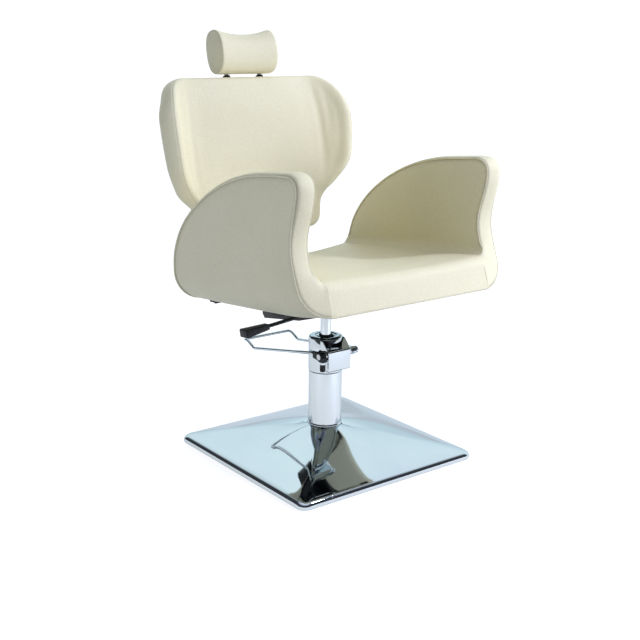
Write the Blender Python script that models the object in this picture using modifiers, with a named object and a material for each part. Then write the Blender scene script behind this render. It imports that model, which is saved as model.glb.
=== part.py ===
"""Barber chair: square chromed base, foot-pumped hydraulic column, upholstered tub seat that turns
and lifts, reclining winged back and sliding headrest.

Metres, +Z up. The origin is on the floor under the column. The sitter faces -Y, so the sitter's
right arm is at -X.
"""

import math

import bmesh
import bpy
from mathutils import Matrix, Vector
from mathutils.geometry import interpolate_bezier

# Fits
GAP = 0.0003  # between pieces that touch
OPEN_PIVOT = 0.0026  # round the crank pin, in the gas spring's end eye

# Base
BASE_SIDE = 0.600
BASE_CORNER = 0.026
RIM_BOTTOM = 0.002
RIM_TOP = 0.023
RIM_ROLL = 0.006
DOME_TOP = 0.086
DOME_POWER = 1.15
DOME_SHARES = (0.75, 0.50, 0.25, 0.0)
SHEET = 0.002
PAD_THICK = 0.004
PAD_INSET = 0.018
BALLAST_THICK = 0.010

# Column and pump
COLUMN_R = 0.047
COLUMN_BEAD = 0.002
COLUMN_BEAD_H = 0.007
FLANGE_R = 0.075
FLANGE_THICK = 0.010
CYLINDER_R = 0.040
CYLINDER_BORE_R = 0.0223
CYLINDER_FLOOR = 0.008
HEAD_R = 0.048
HEAD_BOTTOM = 0.245
HEAD_TOP = 0.345
BOX_HALF_WIDTH = 0.0395
BOX_FRONT = 0.0655
BOX_BOTTOM = 0.257
BOX_SLOPE = 0.0275  # height and depth of the box's sloping top
BOX_TOP_DROP = 0.003  # from the head's top to the box's
PISTON_R = 0.015
PISTON_HEAD_H = 0.024
SEAL_R = 0.022
SEAL_H = 0.007
LIFT_TRAVEL = 0.15

# Pedal
SHAFT_Y = -0.050
SHAFT_Z = 0.303
SHAFT_R = 0.008
SHOULDER_R = 0.0115
HUB_R = 0.0118
HUB_WIDTH = 0.018
HUB_OFFSET = 0.006  # from the box's side to the hub
HUB_REACH = 0.026  # from the shaft back to the rod's end
HUB_ARC_START = math.radians(54)  # where the hub's round front leaves its tail
HUB_ARC_STEPS = 6
HUB_TAIL_WALL = 0.003  # steel round the rod's end
KNOB_R = 0.0105
KNOB_LENGTH = 0.010
PEDAL_ROD_R = 0.004
PEDAL_HALF_WIDTH = 0.080
PEDAL_BAR_Y = 0.288
PEDAL_BAR_Z = 0.277
PEDAL_JOG_LENGTH = 0.034
PEDAL_JOG_DROP = 0.016
PEDAL_BEND_R = 0.016
PEDAL_STRAIGHT = 0.020  # rod straight out of its hub
STOP_REACH = 0.008  # from the shaft forward to the stop screw
STOP_NUT_R = 0.0085
STOP_NUT_H = 0.007
STOP_RUBBER_R = 0.0080
STOP_RUBBER_H = 0.0195
STOP_STUD_R = 0.003
STOP_FOOT_R = 0.0062
STOP_FOOT_H = 0.005
LUG_STEP = 0.001  # from the hub's underside down to the stop screw's seat
FINGER_REACH = 0.020
FINGER_HALF_WIDTH = 0.007
FINGER_HALF_H = 0.006
PLUNGER_R = 0.005
PLUNGER_OFFSET = 0.016  # from the shaft back to the plunger
PLUNGER_LENGTH = 0.034
CAVITY_HALF_WIDTH = 0.013
CAVITY_WALL = 0.0045
CAVITY_DROP = 0.010  # how far the cavity is open below the head
BUSH_H = 0.017

# Seat, in a frame that tilts down to the rear
SEAT_Z = 0.462
SEAT_TILT = math.radians(5.76)
SEAT_FRONT_Y = -0.368
SEAT_REAR_Y = 0.243
SEAT_FRONT_H = 0.101
SEAT_REAR_H = 0.100
SEAT_FRONT_DISH = 0.006
SEAT_REAR_DISH = 0.016
SEAT_FOOT_R = 0.007  # lower front edge
SEAT_BROW_R = 0.026  # upper front edge
SEAT_UNDER_R = 0.036
SEAT_REAR_R = 0.020
FRONT_LIFT = 0.012
FRONT_LIFT_RUN = 0.170
FRONT_RAKE = 0.022  # how far the seat's front leans in, bottom to top
NOSE_RUN = 0.180  # how far back along the arm's foot the seat's front shape fades out
NOSE_FADE = 0.110  # and how far up
JOINT_X = 0.258  # where seat and arm meet
BOARD_THICK = 0.018
SEAT_BOARD_MARGIN = 0.045
STRAP_WIDTH = 0.040
STRAP_THICK = 0.005
STRAP_Y = 0.150
STRAP_REACH = 0.014  # past the joint of seat and arm
BOLT_R = 0.004
BOLT_HEAD_R = 0.0065
BOLT_HEAD_H = 0.003

# Arms
ARM_OUTER_X = 0.336
ARM_THICK = 0.055
ARM_TOP = 0.3585
CURL_R = 0.085
CURL_TOP = 0.130
ARM_WAIST = (-0.311, 0.178)
ARM_NOSE = (-0.352, 0.318)
ARM_TOP_FRONT_Y = -0.300
ARM_TOP_REAR_Y = -0.200
ARM_REAR_Y = 0.248
ARM_REAR_H = 0.090
ARM_FALL_PULL = 0.52  # the pulls shape the curves of the arm's side
ARM_GLIDE_PULL = 0.495
ARM_CREST_PULL = 0.74
ARM_NOSE_PULL = 0.66
ARM_HOLLOW_PULL = 0.35
ARM_NOSE_TUCK = 0.004
ARM_FOOT_TUCK = 0.023
ARM_SHIN_SHARE = 0.70
ARM_ANKLE_SHARE = 0.365
PANEL_THICK = 0.0055
PANEL_INSET = 0.006
PANEL_LIP = 0.002  # how deep the panel's seam lies
ARM_EDGE_ROLL = 0.006  # depth over which the band turns to the sides
ARM_EDGE_INSET = 0.0015
ARM_FACE_INSET = 0.007
ARM_CROWN = 0.004
ARM_BOARD_THICK = 0.012
ARM_BOARD_INSET = 0.036
ARM_BOLT_LENGTH = 0.034
ARM_BOLT_INSET = 0.0065  # from the joint of seat and arm

# Mechanism under the seat
PLATE_HALF_WIDTH = 0.150
PLATE_FRONT_Y = -0.185
PLATE_REAR_Y = 0.176
PLATE_THICK = 0.005
SOCKET_R = 0.030
SOCKET_BOTTOM = 0.392
SOCKET_BORE_TOP = 0.435
HOUSING_HALF_WIDTH = 0.110
HOUSING_FRONT_Y = -0.150
HOUSING_REAR_Y = 0.155
HOUSING_FRONT_H = 0.028
HOUSING_REAR_H = 0.066
HOUSING_CORNER = 0.030
HOUSING_WALL = 0.003
LEVER_Y = -0.085
LEVER_DROP = 0.0245
LEVER_SLOPE = math.radians(5.5)  # down towards the grip
LEVER_R = 0.005
LEVER_INSIDE = 0.022
LEVER_OUT = 0.165
GRIP_LENGTH = 0.075
GRIP_HALF_WIDTH = 0.018
GRIP_HALF_H = 0.0115
GRIP_NECK_HALF_WIDTH = 0.011
GRIP_NECK_HALF_H = 0.0078
GRIP_EASE = 0.004  # the chamfer on all its edges
GRIP_OVERLAP = 0.020
LEVER_TIP = math.radians(8)  # how far the lever lifts
BUSH_R = 0.008
BUSH_LENGTH = 0.008

# Recline hinge and gas spring
HINGE_Y = 0.205
HINGE_DROP = 0.022
HINGE_PIN_R = 0.006
SLEEVE_R = 0.012
LUG_X = 0.046
LUG_WALL = 0.007
CRANK_R = 0.034
CRANK_LEAD = math.radians(20)  # the crank starts this far behind straight down
CRANK_HALF_WIDTH = 0.005
CRANK_EYE_R = 0.011
CRANK_PIN_R = 0.004
CRANK_PIN_LENGTH = 0.023
SPRING_FRONT_Y = -0.120
SPRING_DROP = 0.022
SPRING_R = 0.009
SPRING_TUBE = 0.190
SPRING_BOSS_R = 0.007
SPRING_ROD_R = 0.004
SPRING_EYE_WALL = 0.004
SPRING_SIDE = 0.004  # from the piston's socket to the gas spring beside it
SPRING_EYE_HALF_WIDTH = 0.004
SPRING_HEAD_WALL = 0.004
SPRING_FLOOR = 0.010
SPRING_SLOT_CLEAR = 0.006  # beside the gas spring, in the housing's rear wall

# Back, in a frame on its front face at the foot of the tongue
BACK_FOOT = (0.276, 0.595)
BACK_LEAN = math.radians(13)
BACK_H = 0.452
BACK_THICK = 0.055
TONGUE_HALF_WIDTH = 0.198
TONGUE_CORNER = 0.040
TONGUE_H = 0.070
WING_HALF_WIDTH = 0.331
WING_H = 0.317
WING_FOOT = (0.3071, 0.1966)
WING_SHOULDER = 0.215
NECK_PULL = 0.365  # the pulls shape the curves of the back's outline
WING_FOOT_PULL = 0.2
WING_CLIMB_PULL = 0.24
WING_TIP_PULL = 0.35
WING_CROWN_PULL = 0.43
WING_SHOULDER_PULL = 0.52
WING_START = 0.195
WING_R = 0.064
WING_ANGLE = math.radians(45)
COVER_THICK = 0.0057
COVER_INSET = 0.006
BACK_BOARD_THICK = 0.009
BACK_BOARD_INSET = 0.022
BACK_CROWN = 0.006
BACK_EDGE_ROLL = 0.007  # depth over which the band turns to the faces
BACK_EDGE_INSET = 0.001
BACK_FACE_INSET = 0.007
BACK_FACE_LIP = 0.0005
BAND_CROWN = 0.001
BRACKET_HALF_WIDTH = 0.040
BRACKET_THICK = 0.008
BRACKET_TOP = 0.140
BRACKET_BEND_R = 0.030
BACK_BOLT_LOW = 0.040
BACK_BOLT_HIGH = 0.110

# Headrest, in the back's frame
POST_X = 0.057
POST_Y = 0.0285
POST_R = 0.006
POST_DEPTH = 0.150
GUIDE_WALL = 0.0018
GUIDE_COLLAR_R = 0.011
GUIDE_COLLAR_H = 0.006
GUIDE_LENGTH = 0.090
HEADREST_HALF_WIDTH = 0.094
HEADREST_Y = 0.0145
HEADREST_HALF_DEPTH = 0.0445
HEADREST_HALF_H = 0.058
HEADREST_LIFT = 0.017  # from the back's top edge to the headrest, pushed right down
HEADREST_Z = BACK_H + HEADREST_LIFT + HEADREST_HALF_H
SADDLE_DIP = 0.016
SADDLE_SCOOP = 0.008
SADDLE_REAR_POWER = 0.72  # below one is squarer than round
SADDLE_FRONT_POWER = 0.95
SADDLE_TOP_POWER = 0.85
SADDLE_END_EASE = 0.003
END_PANEL_THICK = 0.004
END_PANEL_INSET = 0.004
CORE_HALF_WIDTH = 0.075
CORE_THICK = 0.012
CORE_H = 0.068
CORE_RISE = 0.013  # from the headrest's lowest edge to its core
CORE_BOTTOM = HEADREST_Z - HEADREST_HALF_H + CORE_RISE
CORE_TOP = CORE_BOTTOM + CORE_H

# Colour, roughness, metallic
FINISHES = {
    "leather": ((0.80, 0.76, 0.62), 0.50, 0.0),
    "chrome": ((0.82, 0.85, 0.88), 0.07, 1.0),
    "steel": ((0.52, 0.54, 0.56), 0.30, 1.0),
    "black_steel": ((0.02, 0.02, 0.022), 0.40, 0.6),
    "black_plastic": ((0.015, 0.016, 0.018), 0.35, 0.0),
    "rubber": ((0.012, 0.012, 0.012), 0.75, 0.0),
    "plywood": ((0.62, 0.46, 0.28), 0.70, 0.0),
    "cast_iron": ((0.09, 0.09, 0.10), 0.65, 0.8),
}

TURN_STEPS = 24
SMOOTH_ANGLE = math.radians(35)
SAME_LENGTH = 0.000001
CORNER_SPREAD = 0.55
HALF_EDGE = 0.49  # the longest bend, as a share of the edges beside it


def clear_scene():
    for old in list(bpy.data.objects):
        bpy.data.objects.remove(old, do_unlink=True)


def new_collection(name):
    collection = bpy.data.collections.new(name)
    bpy.context.scene.collection.children.link(collection)
    return collection


clear_scene()
CHAIR = new_collection("barber_chair")
CUTTERS = new_collection("cutters")


def finish_material(node, finish):
    """A material of the node's own, with the finish's colour, roughness and metallic value."""
    colour, roughness, metallic = FINISHES[finish]
    material = bpy.data.materials.new(f"{node}_{finish}")
    material.use_nodes = True
    shader = material.node_tree.nodes["Principled BSDF"]
    shader.inputs["Base Color"].default_value = (*colour, 1.0)
    shader.inputs["Roughness"].default_value = roughness
    shader.inputs["Metallic"].default_value = metallic
    return material


def joint_empty(name, parent=None, location=(0, 0, 0), tilt=0.0):
    """An empty on a joint's axis, or a frame that pieces are drawn in."""
    empty = bpy.data.objects.new(name, None)
    empty.location = location
    empty.rotation_euler.x = tilt
    empty.parent = parent
    CHAIR.objects.link(empty)
    return empty


def add_piece(name, mesh, finish, parent, location=(0, 0, 0), rotation=(0, 0, 0)):
    piece = bpy.data.objects.new(name, mesh)
    piece.location = location
    piece.rotation_euler = rotation
    piece.parent = parent
    mesh.materials.append(finish_material(name, finish))
    CHAIR.objects.link(piece)
    return piece


def make_cutter(piece):
    """Turns a piece into a hidden cutter."""
    CHAIR.objects.unlink(piece)
    CUTTERS.objects.link(piece)
    piece.hide_render = True
    piece.display_type = "WIRE"
    return piece


def boolean(piece, other, operation):
    modifier = piece.modifiers.new(f"{operation.lower()}_{other.name}", "BOOLEAN")
    modifier.object = other
    modifier.operation = operation
    modifier.solver = "EXACT"


def cut(piece, *cutters):
    for cutter in cutters:
        boolean(piece, cutter, "DIFFERENCE")


def join(piece, *others):
    for other in others:
        boolean(piece, make_cutter(other), "UNION")


def smooth(mesh):
    mesh.shade_smooth()
    mesh.set_sharp_from_angle(angle=SMOOTH_ANGLE)


def mesh_from_bmesh(name, shape):
    bmesh.ops.recalc_face_normals(shape, faces=shape.faces)
    mesh = bpy.data.meshes.new(name)
    shape.to_mesh(mesh)
    shape.free()
    smooth(mesh)
    return mesh


def turned(name, profile, finish, parent, location=(0, 0, 0), rotation=(0, 0, 0), ring=False, start=0.0):
    """A profile of (radius, height), run down its outer side, turned round Z. A ring is closed."""
    mesh = bpy.data.meshes.new(name)
    last = len(profile) - 1
    edges = [(i, i + 1) for i in range(last)] + ([(last, 0)] if ring else [])
    across, along = math.cos(start), math.sin(start)
    mesh.from_pydata([(r * across, r * along, height) for r, height in profile], edges, [])
    piece = add_piece(name, mesh, finish, parent, location, rotation)
    screw = piece.modifiers.new("turn", "SCREW")
    screw.steps = screw.render_steps = TURN_STEPS
    screw.use_merge_vertices = True
    screw.merge_threshold = 0.00001
    screw.use_smooth_shade = True
    return piece


def cylinder(name, radius, low, high, finish, parent, location=(0, 0, 0), rotation=(0, 0, 0)):
    profile = [(0, high), (radius, high), (radius, low), (0, low)]
    return turned(name, profile, finish, parent, location, rotation)


def tube(name, outer, inner, low, high, finish, parent, location=(0, 0, 0), rotation=(0, 0, 0)):
    profile = [(outer, high), (outer, low), (inner, low), (inner, high)]
    return turned(name, profile, finish, parent, location, rotation, ring=True)


def bore(name, radius, low, high, parent, location=(0, 0, 0), rotation=(0, 0, 0)):
    """A round cutter, turned half a step so that its corners miss those of the round it cuts."""
    profile = [(0, high), (radius, high), (radius, low), (0, low)]
    half_step = math.pi / TURN_STEPS
    return make_cutter(turned(name, profile, "steel", parent, location, rotation, start=half_step))


ALONG_X = (0, math.pi / 2, 0)  # turns a piece's Z to X
ALONG_Y = (-math.pi / 2, 0, 0)  # turns a piece's Z to Y
SIDE_VIEW = (math.pi / 2, 0, math.pi / 2)  # turns an XY outline to YZ, extruded along X


def box(name, low, high, finish, parent, bevel=0.0):
    """A box between two corners, with its edges rounded where a bevel is given."""
    low, high = Vector(low), Vector(high)
    shape = bmesh.new()
    bmesh.ops.create_cube(shape, size=1, matrix=Matrix.Diagonal((*(high - low), 1)))
    piece = add_piece(name, mesh_from_bmesh(name, shape), finish, parent, (low + high) / 2)
    if bevel:
        modifier = piece.modifiers.new("edges", "BEVEL")
        modifier.width = bevel
        modifier.segments = 2
        modifier.limit_method = "ANGLE"
    return piece


def flat_outline(name, outline, half, finish, parent, location=(0, 0, 0), rotation=(0, 0, 0)):
    """A flat outline extruded by half its thickness each way, made a mesh so that it can be cut."""
    curve = bpy.data.curves.new(name, "CURVE")
    curve.dimensions = "2D"
    curve.fill_mode = "BOTH"
    curve.extrude = half
    spline = curve.splines.new("POLY")
    spline.points.add(len(outline) - 1)
    for point, (u, v) in zip(spline.points, outline):
        point.co = (u, v, 0, 1)
    spline.use_cyclic_u = True
    drawn = bpy.data.objects.new(f"{name}_outline", curve)
    CHAIR.objects.link(drawn)
    mesh = bpy.data.meshes.new_from_object(drawn.evaluated_get(bpy.context.evaluated_depsgraph_get()))
    bpy.data.objects.remove(drawn, do_unlink=True)
    shape = bmesh.new()
    shape.from_mesh(mesh)
    bpy.data.meshes.remove(mesh)
    bmesh.ops.remove_doubles(shape, verts=shape.verts, dist=0.00001)
    return add_piece(name, mesh_from_bmesh(name, shape), finish, parent, location, rotation)


def prism(name, outline, half_width, finish, parent, x=0.0):
    """A (y, z) outline extruded along X."""
    return flat_outline(name, outline, half_width, finish, parent, (x, 0, 0), SIDE_VIEW)


def rod(name, points, radius, finish, parent, bevel_resolution=2):
    """A round rod along points, with closed ends."""
    curve = bpy.data.curves.new(name, "CURVE")
    curve.dimensions = "3D"
    curve.bevel_depth = radius
    curve.bevel_resolution = bevel_resolution
    curve.use_fill_caps = True
    spline = curve.splines.new("POLY")
    spline.points.add(len(points) - 1)
    for point, place in zip(spline.points, points):
        point.co = (*place, 1)
    piece = bpy.data.objects.new(name, curve)
    piece.parent = parent
    curve.materials.append(finish_material(name, finish))
    CHAIR.objects.link(piece)
    return piece


def rounded_path(points, radius, steps=4, closed=False):
    """The path with each corner replaced by a smooth bend that starts one radius before it.

    The radius is one number, or one for each point.
    """
    points = [Vector(point) for point in points]
    count = len(points)
    radii = radius if isinstance(radius, tuple) else (radius,) * count
    bent = []
    for i, corner in enumerate(points):
        if not closed and i in (0, count - 1):
            bent.append(corner)
            continue
        before, after = points[i - 1] - corner, points[(i + 1) % count] - corner
        reach = min(radii[i], HALF_EDGE * before.length, HALF_EDGE * after.length)
        start = corner + before.normalized() * reach
        end = corner + after.normalized() * reach
        for k in range(steps + 1):
            t = k / steps
            bent.append(start * (1 - t) ** 2 + corner * 2 * t * (1 - t) + end * t**2)
    return bent


def bezier(start, handle_a, handle_b, end, count):
    """Points of a cubic curve, without its last one."""
    knots = [Vector((*point, 0)) for point in (start, handle_a, handle_b, end)]
    return [point.to_2d() for point in interpolate_bezier(*knots, count + 1)[:-1]]


def inset_outline(outline, distance):
    """An anticlockwise outline with each edge moved inwards by one distance."""
    moved = []
    for i, point in enumerate(outline):
        before = (point - outline[i - 1]).normalized()
        after = (outline[(i + 1) % len(outline)] - point).normalized()
        miter = (before + after) / max(1 + before.dot(after), 0.4)
        moved.append(point + Vector((-miter.y, miter.x)) * distance)
    return moved


def ring_of(outline, centre, inset, share, depth):
    """One ring of a padded form: the outline moved in, drawn towards the centre, at a depth."""
    centre = Vector(centre)
    inner = inset_outline(outline, inset)
    return [(*(centre + (point - centre) * share), depth) for point in inner]


def add_quad(shape, corners):
    """Two triangles on the shorter diagonal, so that faces that lie against each other bend alike."""
    a, b, c, d = corners
    if (a.co - c.co).length < (b.co - d.co).length - SAME_LENGTH:
        halves = ((a, b, c), (a, c, d))
    else:
        halves = ((a, b, d), (b, c, d))
    for half in halves:
        shape.faces.new(half)


def loft(name, rings, finish, parent, closed=False):
    """A solid through rings of equal count, capped at both ends or closed on itself."""
    shape = bmesh.new()
    loops = [[shape.verts.new(point) for point in ring] for ring in rings]
    pairs = list(zip(loops, loops[1:]))
    if closed:
        pairs.append((loops[-1], loops[0]))
    else:
        shape.faces.new(loops[0])
        shape.faces.new(loops[-1])
    for first, second in pairs:
        count = len(first)
        for i in range(count):
            j = (i + 1) % count
            corners = (first[i], first[j], second[j], second[i])
            add_quad(shape, corners)
    return add_piece(name, mesh_from_bmesh(name, shape), finish, parent)


def rounded_square(half, corner):
    """A square with round corners, its points crowded where the corners turn."""
    turn = math.atan(corner / half) * CORNER_SPREAD
    angles = [(math.pi / 4 - turn) * k / 4 for k in range(-4, 5)]
    angles += [math.pi / 4 + turn * k / 2 for k in (-1, 0, 1)]
    points = []
    for quarter in range(4):
        for angle in angles:
            ray = Vector((math.cos(angle), math.sin(angle)))
            reach = half / max(ray)
            if min(ray) * reach > half - corner:
                middle = Vector((half - corner, half - corner))
                along = ray.dot(middle)
                reach = along + math.sqrt(along**2 - middle.length_squared + corner**2)
            points.append(Matrix.Rotation(quarter * math.pi / 2, 2) @ (ray * reach))
    return points


BALLAST_TOP = PAD_THICK + GAP + BALLAST_THICK
CYLINDER_TOP = HEAD_BOTTOM - GAP


def build_base(root):
    """The chromed cover over an iron plate that stands on a rubber pad."""
    half = BASE_SIDE / 2
    hole = COLUMN_R - SHEET / 2
    skirt = [(RIM_ROLL * 0.5, RIM_BOTTOM), (0, RIM_BOTTOM + RIM_ROLL), (0, RIM_TOP - RIM_ROLL)]
    skirt += [(RIM_ROLL * 0.4, RIM_TOP - RIM_ROLL * 0.2), (RIM_ROLL * 1.6, RIM_TOP)]
    outer = []
    for inset, height in skirt:
        square = rounded_square(half - inset, BASE_CORNER - inset)
        outer.append([Vector((*point, height)) for point in square])
    rim = [point.to_2d() for point in outer[-1]]
    for share in DOME_SHARES:
        height = RIM_TOP + (DOME_TOP - RIM_TOP) * (1 - share) ** DOME_POWER
        spread = [point.normalized() * (hole + (point.length - hole) * share) for point in rim]
        outer.append([Vector((*point, height)) for point in spread])
    inner = []
    for ring in outer:
        shrunk = [point * (1 - SHEET / point.to_2d().length) for point in ring]
        inner.append([Vector((*new.to_2d(), old.z - SHEET)) for new, old in zip(shrunk, ring)])
    for point in inner[0]:
        point.z = RIM_BOTTOM
    for point in inner[-1]:
        point.xy = point.xy.normalized() * hole
    loft("base_cover", outer + inner[::-1], "chrome", root, closed=True)

    plate_half = half - SHEET * 2 - RIM_ROLL * 0.5
    plate = rounded_square(plate_half, BASE_CORNER - SHEET * 2)
    middle = PAD_THICK + GAP + BALLAST_THICK / 2
    flat_outline("ballast_plate", plate, BALLAST_THICK / 2, "cast_iron", root, (0, 0, middle))
    pad = rounded_square(plate_half - PAD_INSET, BASE_CORNER)
    flat_outline("floor_pad", pad, PAD_THICK / 2, "rubber", root, (0, 0, PAD_THICK / 2))


def build_pump(root, lift):
    """The cylinder under its chromed cover, the head with its pedal box, and the piston."""
    foot = BALLAST_TOP + GAP
    bore_floor = foot + FLANGE_THICK + CYLINDER_FLOOR
    body = [
        (CYLINDER_BORE_R, CYLINDER_TOP),
        (CYLINDER_R, CYLINDER_TOP),
        (CYLINDER_R, foot + FLANGE_THICK),
        (FLANGE_R, foot + FLANGE_THICK),
        (FLANGE_R, foot),
        (0, foot),
    ]
    body = [(0, bore_floor), (CYLINDER_BORE_R, bore_floor)] + body
    turned("pump_cylinder", body, "steel", root)

    bottom = DOME_TOP + GAP
    sleeve = [
        (COLUMN_R, CYLINDER_TOP),
        (COLUMN_R, bottom + COLUMN_BEAD_H),
        (COLUMN_R + COLUMN_BEAD, bottom + COLUMN_BEAD_H - COLUMN_BEAD),
        (COLUMN_R + COLUMN_BEAD, bottom),
        (COLUMN_R - SHEET, bottom),
        (COLUMN_R - SHEET, CYLINDER_TOP),
    ]
    turned("column_cover", sleeve, "chrome", root, ring=True)

    head = tube("pump_head", HEAD_R, PISTON_R + GAP, HEAD_BOTTOM, HEAD_TOP, "chrome", root)
    box_top = HEAD_TOP - BOX_TOP_DROP
    box_rear = -PISTON_R * 1.2
    wedge = [
        (box_rear, BOX_BOTTOM),
        (box_rear, box_top),
        (BOX_SLOPE - BOX_FRONT, box_top),
        (-BOX_FRONT, box_top - BOX_SLOPE),
        (-BOX_FRONT, BOX_BOTTOM),
    ]
    join(head, prism("pedal_box", wedge, BOX_HALF_WIDTH, "chrome", root))
    reach = HEAD_R + BOX_FRONT
    shaft_bore = bore("shaft_bore", SHAFT_R + GAP, -reach, reach, root, (0, SHAFT_Y, SHAFT_Z), ALONG_X)
    low = (-CAVITY_HALF_WIDTH, CAVITY_WALL - BOX_FRONT, HEAD_BOTTOM - CAVITY_DROP)
    high = (CAVITY_HALF_WIDTH, SHAFT_Y + FINGER_REACH + CAVITY_WALL, SHAFT_Z + SHAFT_R + CAVITY_WALL)
    cavity = box("plunger_cavity", low, high, "steel", root)
    cut(head, shaft_bore, make_cutter(cavity))
    tube("gland_seal", SEAL_R, PISTON_R + GAP, HEAD_TOP + GAP, HEAD_TOP + GAP + SEAL_H, "rubber", root)

    bush_bottom = BOX_BOTTOM + GAP
    bush_low = (low[0] + GAP, low[1] + GAP, bush_bottom)
    bush_high = (high[0] - GAP, high[1] - GAP, bush_bottom + BUSH_H)
    bush = box("plunger_bush", bush_low, bush_high, "steel", root)
    plunger_y = SHAFT_Y + PLUNGER_OFFSET
    cut(bush, bore("plunger_bore", PLUNGER_R + GAP, 0, HEAD_TOP, root, (0, plunger_y, 0)))

    ram = [
        (0, SOCKET_BORE_TOP - GAP),
        (PISTON_R * 0.9, SOCKET_BORE_TOP - GAP),
        (PISTON_R, SOCKET_BORE_TOP - GAP - PISTON_R * 0.1),
        (PISTON_R, bore_floor + GAP + PISTON_HEAD_H),
        (CYLINDER_BORE_R - GAP, bore_floor + GAP + PISTON_HEAD_H),
        (CYLINDER_BORE_R - GAP, bore_floor + GAP),
        (0, bore_floor + GAP),
    ]
    turned("piston_rod", ram, "chrome", lift)


HUB_X = BOX_HALF_WIDTH + HUB_OFFSET + HUB_WIDTH / 2


def build_pedal(pedal, plunger):
    """The foot loop on its cross shaft, drawn about the shaft's axis, and the plunger it works."""
    end = HUB_X + HUB_WIDTH / 2
    shoulder = (BOX_HALF_WIDTH + GAP, BOX_HALF_WIDTH + HUB_OFFSET - GAP)
    half = [
        (SHAFT_R, shoulder[0]),
        (SHOULDER_R, shoulder[0]),
        (SHOULDER_R, shoulder[1]),
        (SHAFT_R, shoulder[1]),
        (SHAFT_R, end),
        (0, end),
    ]
    profile = half[::-1] + [(radius, -x) for radius, x in half]
    shaft = turned("pedal_shaft", profile, "steel", pedal, rotation=ALONG_X)
    finger_low = (-FINGER_HALF_WIDTH, 0, -FINGER_HALF_H)
    finger_high = (FINGER_HALF_WIDTH, FINGER_REACH, FINGER_HALF_H)
    join(shaft, box("plunger_finger", finger_low, finger_high, "steel", pedal))
    knob = [
        (0, KNOB_LENGTH),
        (KNOB_R * 0.6, KNOB_LENGTH),
        (KNOB_R * 0.92, KNOB_LENGTH * 0.8),
        (KNOB_R, KNOB_LENGTH * 0.5),
        (KNOB_R * 0.8, 0),
        (0, 0),
    ]
    turned("shaft_knob", knob, "chrome", pedal, (end + GAP, 0, 0), ALONG_X)

    hole = bore("hub_bore", SHAFT_R + GAP, -2 * end, 2 * end, pedal, rotation=ALONG_X)
    rear = HUB_REACH - GAP
    half_rod = PEDAL_ROD_R + HUB_TAIL_WALL
    tear = [(rear, -half_rod), (rear, half_rod)]
    for k in range(HUB_ARC_STEPS + 1):
        angle = HUB_ARC_START + 2 * (math.pi - HUB_ARC_START) * k / HUB_ARC_STEPS
        tear.append((HUB_R * math.cos(angle), HUB_R * math.sin(angle)))
    front, behind = -STOP_REACH - STOP_NUT_R, STOP_NUT_R - STOP_REACH
    lug_drop = HUB_R + LUG_STEP
    lug = [(front, 0), (front, -lug_drop), (behind, -lug_drop), (behind, 0)]
    for side, sign, finish in (("right", -1, "black_steel"), ("left", 1, "chrome")):
        x = sign * HUB_X
        hub = prism(f"pedal_hub_{side}", tear, HUB_WIDTH / 2, finish, pedal, x)
        if side == "right":
            join(hub, prism("stop_lug", lug, HUB_WIDTH / 2 - GAP, "black_steel", pedal, x))
        cut(hub, hole)

    bar_y = PEDAL_BAR_Y - SHAFT_Y
    bar_z = PEDAL_BAR_Z - SHAFT_Z
    jog_y = bar_y - PEDAL_BEND_R
    near = [
        (HUB_X, HUB_REACH, 0),
        (HUB_X, HUB_REACH + PEDAL_STRAIGHT, 0),
        (PEDAL_HALF_WIDTH, jog_y - PEDAL_JOG_LENGTH, bar_z - PEDAL_JOG_DROP),
        (PEDAL_HALF_WIDTH, jog_y, bar_z),
        (PEDAL_HALF_WIDTH, bar_y, bar_z),
    ]
    path = [(-x, y, z) for x, y, z in near] + near[::-1]
    rod("pedal_loop", rounded_path(path, PEDAL_BEND_R, 5), PEDAL_ROD_R, "chrome", pedal)

    top = -lug_drop - GAP
    rubber_top = top - STOP_NUT_H
    rubber_bottom = rubber_top - STOP_RUBBER_H
    screw = [
        (0, top),
        (STOP_NUT_R, top),
        (STOP_NUT_R, rubber_top),
        (STOP_STUD_R, rubber_top),
        (STOP_STUD_R, rubber_bottom),
        (STOP_FOOT_R, rubber_bottom),
        (STOP_FOOT_R, rubber_bottom - STOP_FOOT_H),
        (0, rubber_bottom - STOP_FOOT_H),
    ]
    at = (-HUB_X, -STOP_REACH, 0)
    turned("stop_screw", screw, "chrome", pedal, at)
    low, high = rubber_bottom + GAP, rubber_top - GAP
    tube("stop_bumper", STOP_RUBBER_R, STOP_STUD_R + GAP, low, high, "rubber", pedal, at)

    tip = -FINGER_HALF_H - GAP
    pin = [(0, tip), (PLUNGER_R * 0.7, tip), (PLUNGER_R, tip - PLUNGER_R * 0.4)]
    pin += [(PLUNGER_R, tip - PLUNGER_LENGTH), (0, tip - PLUNGER_LENGTH)]
    turned("pump_plunger", pin, "steel", plunger)


def seat_top(y):
    """Height of the seat's edge beside the arms."""
    share = (y - SEAT_FRONT_Y) / (SEAT_REAR_Y - SEAT_FRONT_Y)
    return SEAT_FRONT_H + (SEAT_REAR_H - SEAT_FRONT_H) * share


def front_lift(y):
    """How far the underside rises towards the front edge."""
    share = (SEAT_FRONT_Y + FRONT_LIFT_RUN - y) / FRONT_LIFT_RUN
    share = min(max(share, 0.0), 1.0)
    return FRONT_LIFT * share * share * (3 - 2 * share)


SEAT_SHARES = (-1, -0.94, -0.72, -0.38, 0, 0.38, 0.72, 0.94, 1)
PLATE_TOP = -GAP
PLATE_BOTTOM = PLATE_TOP - PLATE_THICK


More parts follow.
